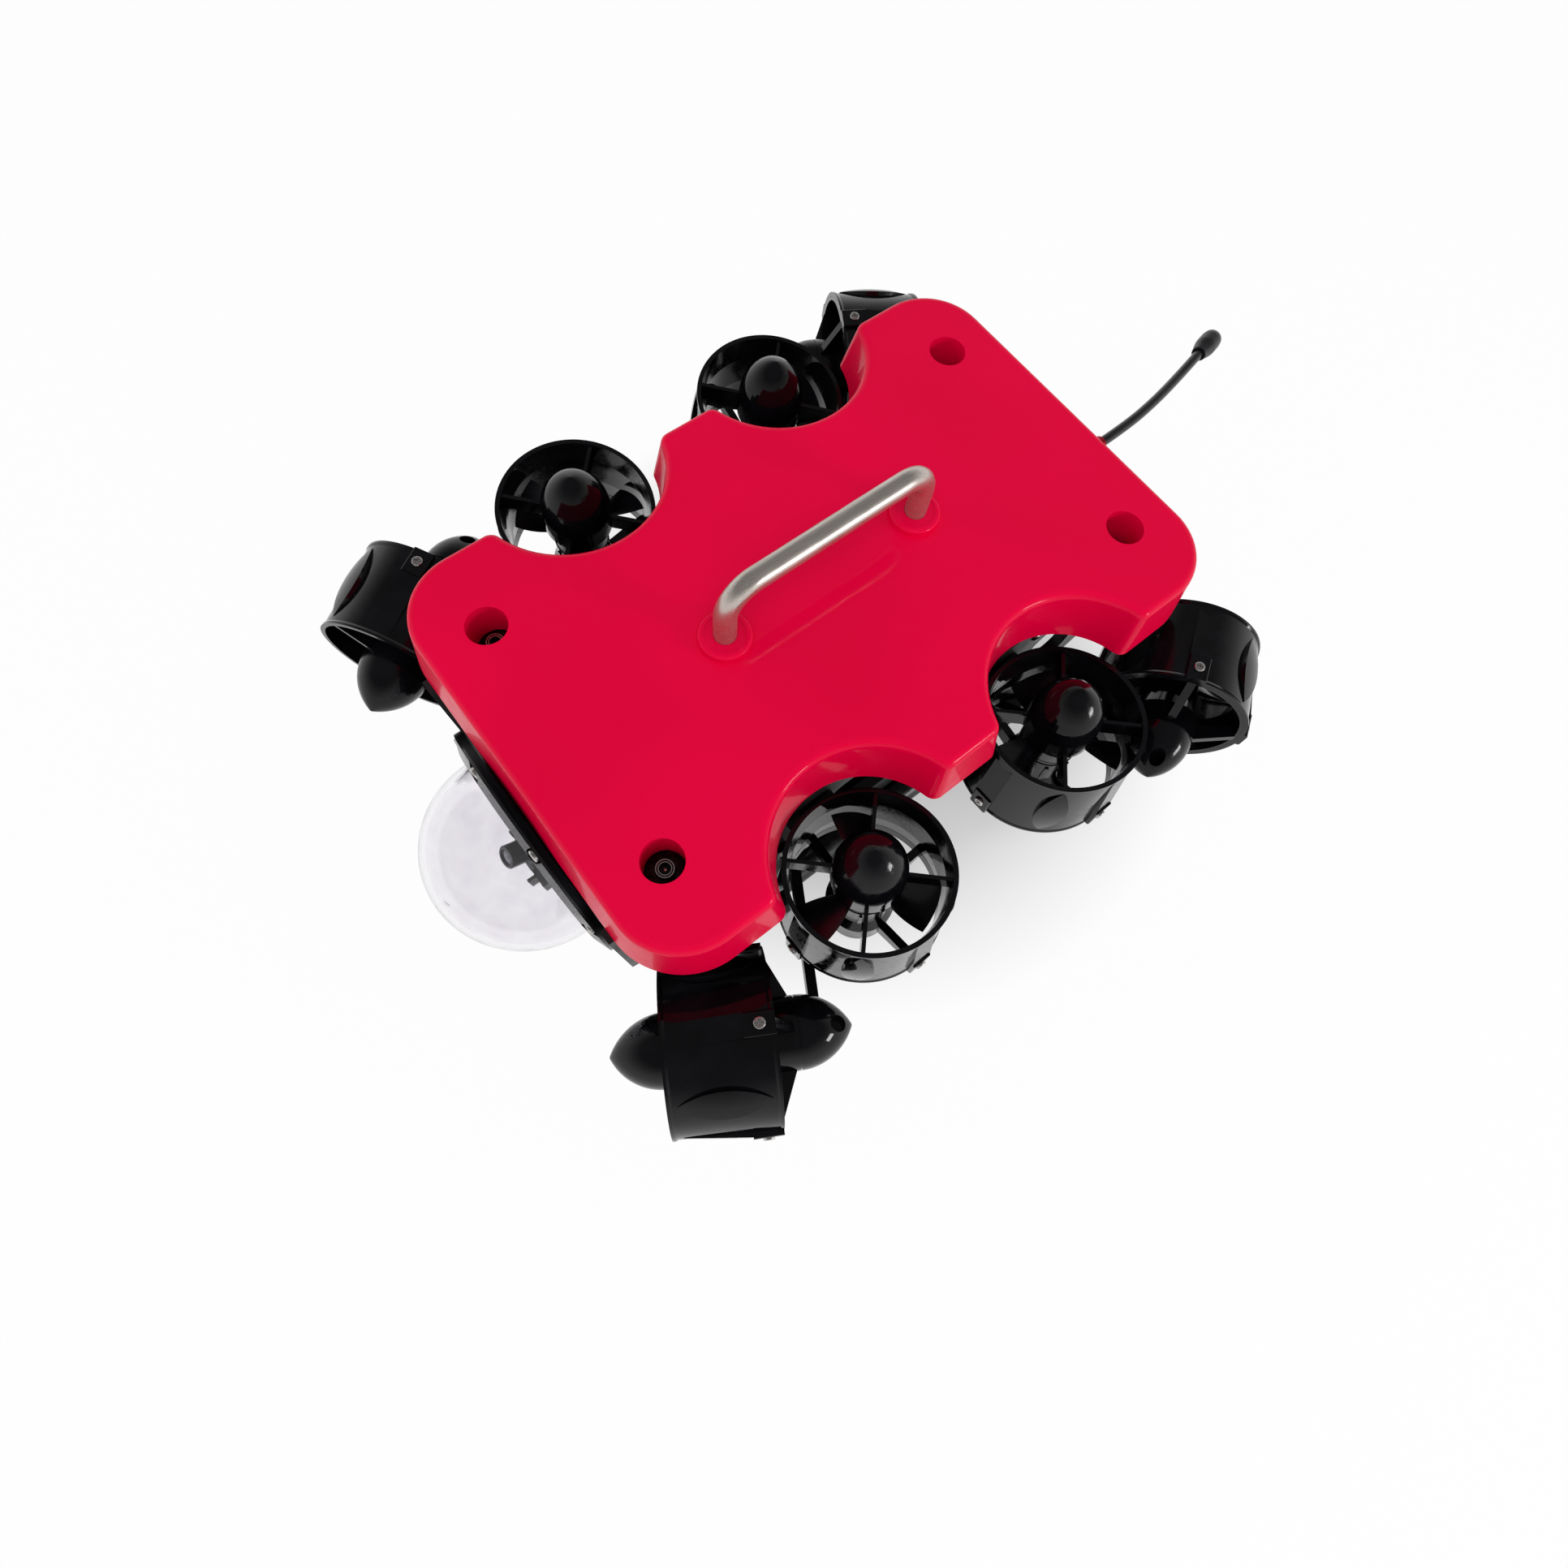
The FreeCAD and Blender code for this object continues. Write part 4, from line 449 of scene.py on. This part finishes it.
def select_only(obj=None):
    if bpy.context.mode != "OBJECT":
        bpy.ops.object.mode_set(mode="OBJECT")
    bpy.ops.object.select_all(action="DESELECT")
    if obj is not None:
        obj.select_set(True)
        bpy.context.view_layer.objects.active = obj


def named(name):
    obj = bpy.context.object
    obj.name = name
    obj.data.name = name
    return obj


def pick(kind, wanted):
    """In edit mode, selects just the faces or edges for which wanted(it) is true."""
    obj = bpy.context.object
    bpy.ops.object.mode_set(mode="EDIT")
    bpy.ops.mesh.select_mode(type=kind)
    bpy.ops.mesh.select_all(action="DESELECT")
    mesh = bmesh.from_edit_mesh(obj.data)
    for item in mesh.faces if kind == "FACE" else mesh.edges:
        item.select = wanted(item)
    mesh.select_flush_mode()
    bmesh.update_edit_mesh(obj.data)


def round_blank(name, radius, depth, sides=40):
    """Disc of the given depth standing on the origin, with its top cap picked in edit mode."""
    select_only()
    bpy.ops.mesh.primitive_cylinder_add(vertices=sides, radius=radius * MM, depth=depth * MM,
                                        location=(0, 0, depth / 2 * MM))
    obj = named(name)
    bpy.ops.object.transform_apply(location=True)
    pick("FACE", lambda face: face.normal.z > 0.9)
    return obj


def draw_out(steps):
    """Extrudes the picked cap by each rise and scales its new rim, both steps in millimetres."""
    for rise, before, after in steps:
        bpy.ops.mesh.extrude_region_move(TRANSFORM_OT_translate={"value": (0, 0, rise * MM)})
        share = after / before
        bpy.ops.transform.resize(value=(share, share, 1), center_override=(0, 0, 0))


def sink(edge, depth):
    """Insets the picked cap by edge and pushes it in or out by depth, in millimetres."""
    bpy.ops.mesh.inset(thickness=edge * MM)
    bpy.ops.mesh.extrude_region_move(TRANSFORM_OT_translate={"value": (0, 0, depth * MM)})


def soften(wanted, offset, segments=2):
    """Bevels the edges for which wanted(edge) is true, and goes back to object mode."""
    pick("EDGE", wanted)
    bpy.ops.mesh.bevel(offset=offset * MM, segments=segments)
    bpy.ops.object.mode_set(mode="OBJECT")


def on_rim(edge, height, slack=0.02):
    """True for an edge that lies level at the given height in millimetres."""
    return all(abs(vertex.co.z - height * MM) < slack * MM for vertex in edge.verts)


def subtract(obj, cutter):
    """Cuts one piece out of another and throws the cutter away."""
    select_only(obj)
    modifier = obj.modifiers.new("cut", "BOOLEAN")
    modifier.object = cutter
    modifier.solver = "EXACT"
    bpy.ops.object.modifier_apply(modifier=modifier.name)
    bpy.data.objects.remove(cutter)


def copy_at(piece, matrix):
    """A copy with its own mesh, moved by the matrix."""
    other = piece.copy()
    other.data = piece.data.copy()
    other.data.transform(matrix)
    bpy.context.scene.collection.objects.link(other)
    return other


def set_out(piece, places, name, slot, body=HULL, angle=30):
    """One finished piece made of a copy at each place; the pattern piece is thrown away."""
    copies = [copy_at(piece, place) for place in places]
    bpy.data.objects.remove(piece)
    select_only(copies[0])
    for other in copies:
        other.select_set(True)
    if len(copies) > 1:
        bpy.ops.object.join()
    made = named(name)
    bpy.ops.object.shade_smooth_by_angle(angle=math.radians(angle))
    finish(made, slot, body)
    return made


# ---------------------------------------------------------------- tether fittings

def tether_boot():
    """Rubber cap on the tether's connector: a flared cup round the cable with a blunt end."""
    boot = round_blank("tether_boot", 4.6, 1.2)
    draw_out(((3.0, 4.6, 5.6), (3.5, 5.6, 6.4), (7.0, 6.4, 6.4), (2.5, 6.4, 5.9),
              (1.8, 5.9, 4.4)))
    sink(0.8, -0.6)
    pick("FACE", lambda face: face.normal.z < -0.9)
    sink(1.1, 2.2)
    soften(lambda edge: on_rim(edge, 14.7) or on_rim(edge, 7.7) or on_rim(edge, 0), 0.35, 2)
    last, end = (Vector(corner) * MM for corner in TETHER_ROUTE[-2:])
    turn = (end - last).to_track_quat("Z", "Y").to_matrix().to_4x4()
    cap = set_out(boot, [Matrix.Translation(end) @ turn], "tether_cap", "connector_rubber")
    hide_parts("tether_connector")
    return cap


# ---------------------------------------------------------------- fasteners

def pan_screw(radius, height):
    """Pan head screw with a cross recess, head up along +Z, seated at the origin."""
    head = round_blank("pan_screw", radius, height, 28)
    soften(lambda edge: on_rim(edge, height), height * 0.5, 3)
    for turn in (0, math.pi / 2):
        select_only()
        bpy.ops.mesh.primitive_cube_add(
            size=1, location=(0, 0, height * MM), rotation=(0, 0, turn),
            scale=(radius * 1.3 * MM, radius * 0.36 * MM, height * 1.3 * MM))
        bpy.ops.object.transform_apply(location=True, rotation=True, scale=True)
        blade = named("recess")
        pick("FACE", lambda face: face.normal.z < -0.9)
        bpy.ops.transform.resize(value=(0.7, 0.7, 1), center_override=(0, 0, 0))
        bpy.ops.object.mode_set(mode="OBJECT")
        subtract(head, blade)
    return head


def cap_screw(radius, height, across, depth):
    """Socket head: knurled side, chamfered rim and a hexagon socket with a drill point."""
    head = round_blank("cap_screw", radius, height, 48)
    soften(lambda edge: on_rim(edge, height), 0.5, 2)
    pick("FACE", lambda face: abs(face.normal.z) < 0.1
         and int(math.degrees(math.atan2(face.normal.y, face.normal.x)) // 7.5) % 2 == 0)
    bpy.ops.mesh.inset(thickness=0.08 * MM, depth=-0.12 * MM, use_individual=True)
    bpy.ops.object.mode_set(mode="OBJECT")
    select_only()
    bpy.ops.mesh.primitive_cylinder_add(vertices=6, radius=across / math.sqrt(3) * MM,
                                        depth=depth * 2 * MM, location=(0, 0, height * MM))
    bpy.ops.object.transform_apply(location=True)
    socket = named("socket")
    pick("FACE", lambda face: face.normal.z < -0.9)
    bpy.ops.mesh.inset(thickness=across * 0.28 * MM)
    bpy.ops.mesh.extrude_region_move(TRANSFORM_OT_translate={"value": (0, 0, 0.6 * MM)})
    bpy.ops.object.mode_set(mode="OBJECT")
    subtract(head, socket)
    return head


def button_screw(radius, height):
    """Button head screw with a hexagon socket, for the frame."""
    head = round_blank("button_screw", radius, height * 0.35, 32)
    draw_out([(height * rise, radius * before, radius * after)
              for rise, before, after in BUTTON_SLOPE])
    bpy.ops.object.mode_set(mode="OBJECT")
    select_only()
    bpy.ops.mesh.primitive_cylinder_add(vertices=6, radius=radius * 0.4 * MM,
                                        depth=height * 1.2 * MM, location=(0, 0, height * MM))
    bpy.ops.object.transform_apply(location=True)
    subtract(head, named("socket"))
    return head


# Screw tabs stand square to the thrusters; the corner thrusters are rolled a little inboard.
TAB_RADIUS = 50.3 * MM
TAB_SETBACK = 49.0 * MM
CORNER_ROLL = math.radians(7)


def thruster_frames():
    """Each thruster's name and the frame at its rim: +Z to the nose, +X to a screw tab."""
    for joint in frame["joints"]:
        if not joint["name"].startswith("spin_"):
            continue
        axis = Vector(joint["axis"]).normalized()
        spot = Vector(joint["pos_m"])
        if abs(axis.z) > 0.5:
            tab = Vector((1 if spot.x > MIDSHIPS else -1, 0, 0))
        else:
            outboard = Vector((axis.y, -axis.x, 0)) * (1 if axis.x * spot.y < 0 else -1)
            if outboard.y * spot.y < 0:
                outboard.negate()
            tab = Vector((0, 0, math.cos(CORNER_ROLL))) - outboard * math.sin(CORNER_ROLL)
        side = axis.cross(tab)
        turn = Matrix((tab, side, axis)).transposed().to_4x4()
        yield joint["name"][5:], Matrix.Translation(spot) @ turn


def facing(direction):
    """Turns +Z to a direction."""
    return Vector(direction).to_track_quat("Z", "Y").to_matrix().to_4x4()


def thruster_screws():
    """Four radial screws through the tabs of every duct."""
    for name, place in thruster_frames():
        seats = []
        for step in range(4):
            radial = Matrix.Rotation(step * math.pi / 2, 4, "Z")
            seat = Matrix.Translation((TAB_RADIUS, 0, -TAB_SETBACK))
            lay = (Matrix.Rotation(math.pi / 2, 4, "Y")
                   @ Matrix.Rotation(TAB_SCREW_TURN * step, 4, "Z"))
            seats.append(place @ radial @ seat @ lay)
        set_out(pan_screw(3.1, 1.3), seats, "tab_screws_" + name, "screw_steel")


def dome_screws():
    """Cross-recessed screws in the notches of the dome's retaining ring."""
    circle, count, edge = 70.5 * MM, 8, 1.5 * MM
    seat_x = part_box("dome_ring")[0][0] + edge
    seats = []
    for number in range(count):
        around = Matrix.Rotation((number + 0.5) * math.tau / count, 4, "X")
        spot = around @ Vector((seat_x, 0, circle))
        own_turn = Matrix.Rotation(RING_SCREW_TURN * number, 4, "Z")
        seats.append(Matrix.Translation((spot.x, spot.y, spot.z + TUBE_AXIS))
                     @ facing((1, 0, 0)) @ own_turn)
    screws = set_out(pan_screw(3.6, 2.3), seats, "dome_screws", "screw_steel")
    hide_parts("dome_ring_screws")


def float_bolt_spots(drop):
    """The four bolt axes, at the given depth in millimetres below the tops of the heads."""
    low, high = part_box("float_bolts")
    edge = WASHER_RADIUS * MM
    return [Vector((x, y, high[2] - drop * MM)) for x in (low[0] + edge, high[0] - edge)
            for y in (low[1] + edge, high[1] - edge)]


def float_bolts():
    """Black-oxided cap screws on washers at the bottom of the float's wells."""
    spots = float_bolt_spots(BOLT_HEAD)
    seats = [Matrix.Translation(spot) @ Matrix.Rotation(FLOAT_BOLT_TURN * number, 4, "Z")
             for number, spot in enumerate(spots)]
    heads = set_out(cap_screw(5.1, BOLT_HEAD, 5.0, 3.2), seats, "float_cap_screws",
                    "bolt_black")
    washer = round_blank("washer", WASHER_RADIUS, WASHER_THICKNESS, 48)
    bpy.ops.object.mode_set(mode="OBJECT")
    select_only()
    bpy.ops.mesh.primitive_cylinder_add(vertices=32, radius=3.2 * MM, depth=4 * MM)
    subtract(washer, named("bore"))
    soften(lambda edge: on_rim(edge, WASHER_THICKNESS), 0.25)
    seats = [Matrix.Translation(spot - Vector((0, 0, WASHER_THICKNESS * MM)))
             for spot in spots]
    washers = set_out(washer, seats, "float_washers", "bolt_black")
    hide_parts("float_bolts")
    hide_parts("float_bolts")


def float_bolt_painted_highlights():
    """Painted highlights on each float bolt: bright bare-steel rings on its rim and socket edge and a bright dot
    at its drill point, standing in for light caught there.
    """
    skin, point_depth = 0.12, 2.9
    spots = float_bolt_spots(0)
    rings = []
    # Painted highlight rings on the bolt head's rim and round the edge of its socket.
    for outside, inside in ((4.7, 4.2), (3.45, 3.05)):
        ring = round_blank("painted_highlight_ring", outside, skin, 48)
        bpy.ops.object.mode_set(mode="OBJECT")
        select_only()
        bpy.ops.mesh.primitive_cylinder_add(vertices=48, radius=inside * MM, depth=1 * MM)
        subtract(ring, named("inside"))
        rings.append(ring)
    # Painted highlight dot at the drill point, at the bottom of the socket.
    point = round_blank("drill_point", 1.0, 0.3, 20)
    draw_out(((0.3, 1.0, 0.4),))
    bpy.ops.object.mode_set(mode="OBJECT")
    for number, ring in enumerate(rings):
        set_out(ring, [Matrix.Translation(spot) for spot in spots],
                "float_bolt_highlight_ring_%d" % (number + 1), "screw_steel")
    places = [Matrix.Translation(spot) for spot in float_bolt_spots(point_depth)]
    set_out(point, places, "float_bolt_point_highlights", "screw_steel")


def handle_bosses():
    """Rounded bosses of the float round the handle's legs, with a step where the leg enters."""
    low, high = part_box("carry_handle")
    leg, top = 6.0 * MM, 190 * MM
    rise, round_edge = 4.4, 2.0
    middle = (low[1] + high[1]) / 2
    boss = round_blank("boss", 14.3, rise, 64)
    sink(3.4, -0.5)
    sink(1.2, -0.4)
    soften(lambda edge: on_rim(edge, rise) and edge.calc_length() < 1.5 * MM
           and edge.verts[0].co.xy.length > 13 * MM, round_edge, 5)
    select_only()
    bpy.ops.mesh.primitive_cylinder_add(vertices=48, radius=6.1 * MM, depth=12 * MM)
    subtract(boss, named("leg_bore"))
    places = [Matrix.Translation((x, middle, top)) for x in (low[0] + leg, high[0] - leg)]
    set_out(boss, places, "handle_bosses", "float_red", angle=50)


def frame_screws():
    """Button screws of the bulkheads, deck, payload plate and cradles, placed in millimetres
    from midships and up from the ground."""
    seats = []
    for sy in PORT_AND_STARBOARD:
        places = [(sx * 100, z) for sx in BOW_AND_STERN for z in (36, 143)]
        places += [(x, 155) for x in (-178, -128, 128, 178)]
        places += [(x, 21) for x in (-60, 60)]
        places += [(sx * 71.5 + step, 112) for sx in BOW_AND_STERN for step in (-9, 9)]
        for x, z in places:
            spot = Vector((MIDSHIPS + x * MM, sy * PLATE_FACE, z * MM))
            seats.append(Matrix.Translation(spot) @ facing((0, sy, 0)))
    set_out(button_screw(3.6, 2.2), seats, "frame_screws", "screw_steel")


def strut_screws():
    """Two button screws through the foot of each thruster strut."""
    foot_x, foot_reach, foot_z, spacing = 78.5 * MM, 4 * MM, 80 * MM, 8 * MM
    seats = []
    for sx in BOW_AND_STERN:
        for sy in PORT_AND_STARBOARD:
            for step in (-spacing, spacing):
                spot = Vector((MIDSHIPS + sx * foot_x + step,
                               sy * (PLATE_FACE + foot_reach), foot_z))
                seats.append(Matrix.Translation(spot) @ facing((0, sy, 0)))
    set_out(button_screw(2.8, 1.8), seats, "strut_screws", "screw_steel")


def lens_front():
    """Bulging front glass of the camera, in a stepped bezel."""
    pivot = next(Vector(joint["pos_m"]) for joint in frame["joints"]
                 if joint["name"] == "camera_tilt")
    housing_front = 15
    ahead = Vector((math.cos(CAMERA_RISE), 0, math.sin(CAMERA_RISE)))
    front = Matrix.Translation(pivot + ahead * housing_front * MM) @ facing(ahead)
    glass = round_blank("lens_glass_front", 4.7, 0.2, 36)
    draw_out(((0.35, 4.7, 4.2), (0.3, 4.2, 3.1), (0.15, 3.1, 1.2)))
    bpy.ops.object.mode_set(mode="OBJECT")
    set_out(glass, [front @ Matrix.Translation((0, 0, -0.9 * MM))], "lens_front", "lens_glass",
            "camera")
    bezel = round_blank("bezel", 6.6, 1.0, 40)
    sink(1.5, -0.5)
    sink(0.35, -0.3)
    soften(lambda edge: on_rim(edge, 1.0), 0.2)
    set_out(bezel, [front @ Matrix.Translation((0, 0, -0.4 * MM))], "lens_bezel",
            "camera_black", "camera")


# ---------------------------------------------------------------- studio

def studio_floor():
    """Pale paper, near white to the eye further out; close around the object its glow is turned down, a painted
    shade that greys the floor there as well as keeping the object's real soft shadow.
    """
    select_only()
    bpy.ops.mesh.primitive_plane_add(size=14, location=(0, 0, -0.0005))
    floor = named("floor")
    made = bpy.data.materials.new("studio paper")
    made.use_nodes = True
    tree = made.node_tree
    tree.nodes.clear()
    paper = add(tree, "BsdfDiffuse", {"Color": linear("e6e5e7")})
    glow = add(tree, "Emission", {"Color": (1, 1, 1, 1), "Strength": 1.0})
    path = add(tree, "LightPath")
    mirrored = add(tree, "Math", {0: path.outputs["Is Glossy Ray"],
                                  1: path.outputs["Is Transmission Ray"]}, operation="MAXIMUM")
    seen = add(tree, "Math", {0: path.outputs["Is Camera Ray"], 1: mirrored},
               operation="MAXIMUM")
    # Painted shade: the glow share falls off towards a spot under the object, so the floor there renders greyer,
    # besides its real shadow.
    under = add(tree, "VectorMath", {0: add(tree, "TexCoord").outputs["Object"],
                                     1: (0.08, 0, 0)}, operation="ADD")
    reach = add(tree, "VectorMath", {0: under}, operation="LENGTH")
    glow_outside_painted_shade = add(tree, "MapRange", {"Value": reach.outputs["Value"], "From Min": 0.15,
                                   "From Max": 0.26, "To Min": 0.35, "To Max": 0.96})
    share = add(tree, "Math", {0: seen, 1: glow_outside_painted_shade}, operation="MULTIPLY")
    mixed = add(tree, "MixShader", {0: share, 1: paper, 2: glow})
    add(tree, "OutputMaterial", {"Surface": mixed})
    floor.data.materials.append(made)


def studio_world():
    """White all round to the eye and in glass, dimmer overhead in reflections, soft in light."""
    world = bpy.data.worlds.new("studio")
    bpy.context.scene.world = world
    world.use_nodes = True
    tree = world.node_tree
    tree.nodes.clear()
    path = add(tree, "LightPath")
    height = add(tree, "SeparateXYZ", {0: add(tree, "TexCoord").outputs["Generated"]})
    dimming = add(tree, "MapRange", {"Value": height.outputs["Z"], "From Min": 0.12,
                                     "From Max": 0.65, "To Min": 1.0, "To Max": 0.18})
    mirrored = add(tree, "Math", {0: path.outputs["Is Glossy Ray"], 1: dimming},
                   operation="MULTIPLY")
    seen = add(tree, "Math", {0: path.outputs["Is Camera Ray"],
                              1: path.outputs["Is Transmission Ray"]}, operation="MAXIMUM")
    bright = add(tree, "Math", {0: seen, 1: mirrored}, operation="MAXIMUM")
    spread = add(tree, "Math", {0: path.outputs["Is Diffuse Ray"], 1: 0.6},
                 operation="MULTIPLY")
    strength = add(tree, "Math", {0: bright, 1: spread}, operation="MAXIMUM")
    back = add(tree, "Background", {"Color": (1, 1, 1, 1), "Strength": strength})
    add(tree, "OutputWorld", {"Surface": back})


def soft_box(name, spot, aim, size, power, mirrored=True):
    """Area lamp with size in metres and power in watts, which glossy faces may mirror or not."""
    bpy.ops.object.light_add(type="AREA", location=spot)
    lamp = bpy.context.object
    lamp.name = name
    lamp.data.shape = "RECTANGLE"
    lamp.data.size, lamp.data.size_y = size
    lamp.data.energy = power
    lamp.visible_glossy = mirrored
    lamp.visible_transmission = mirrored
    lamp.rotation_euler = (Vector(aim) - Vector(spot)).to_track_quat("-Z", "Y").to_euler()


def light_studio():
    studio_floor()
    studio_world()
    soft_box("overhead", (0.55, 0.55, 1.6), (0, 0, 0.1), (1.0, 1.0), 8, False)
    soft_box("window", (-0.7, 1.5, 0.6), (0, 0, 0.1), (0.5, 0.25), 8)
    soft_box("fill", (1.3, -0.9, 0.8), (0, 0, 0.1), (0.8, 0.8), 3, False)


place_camera()
lay_tether()
dress_cad_nodes()
thruster_screws()
dome_screws()
float_bolts()
float_bolt_painted_highlights()
handle_bosses()
frame_screws()
strut_screws()
lens_front()
light_studio()
bpy.context.scene.view_settings.view_transform = "Standard"
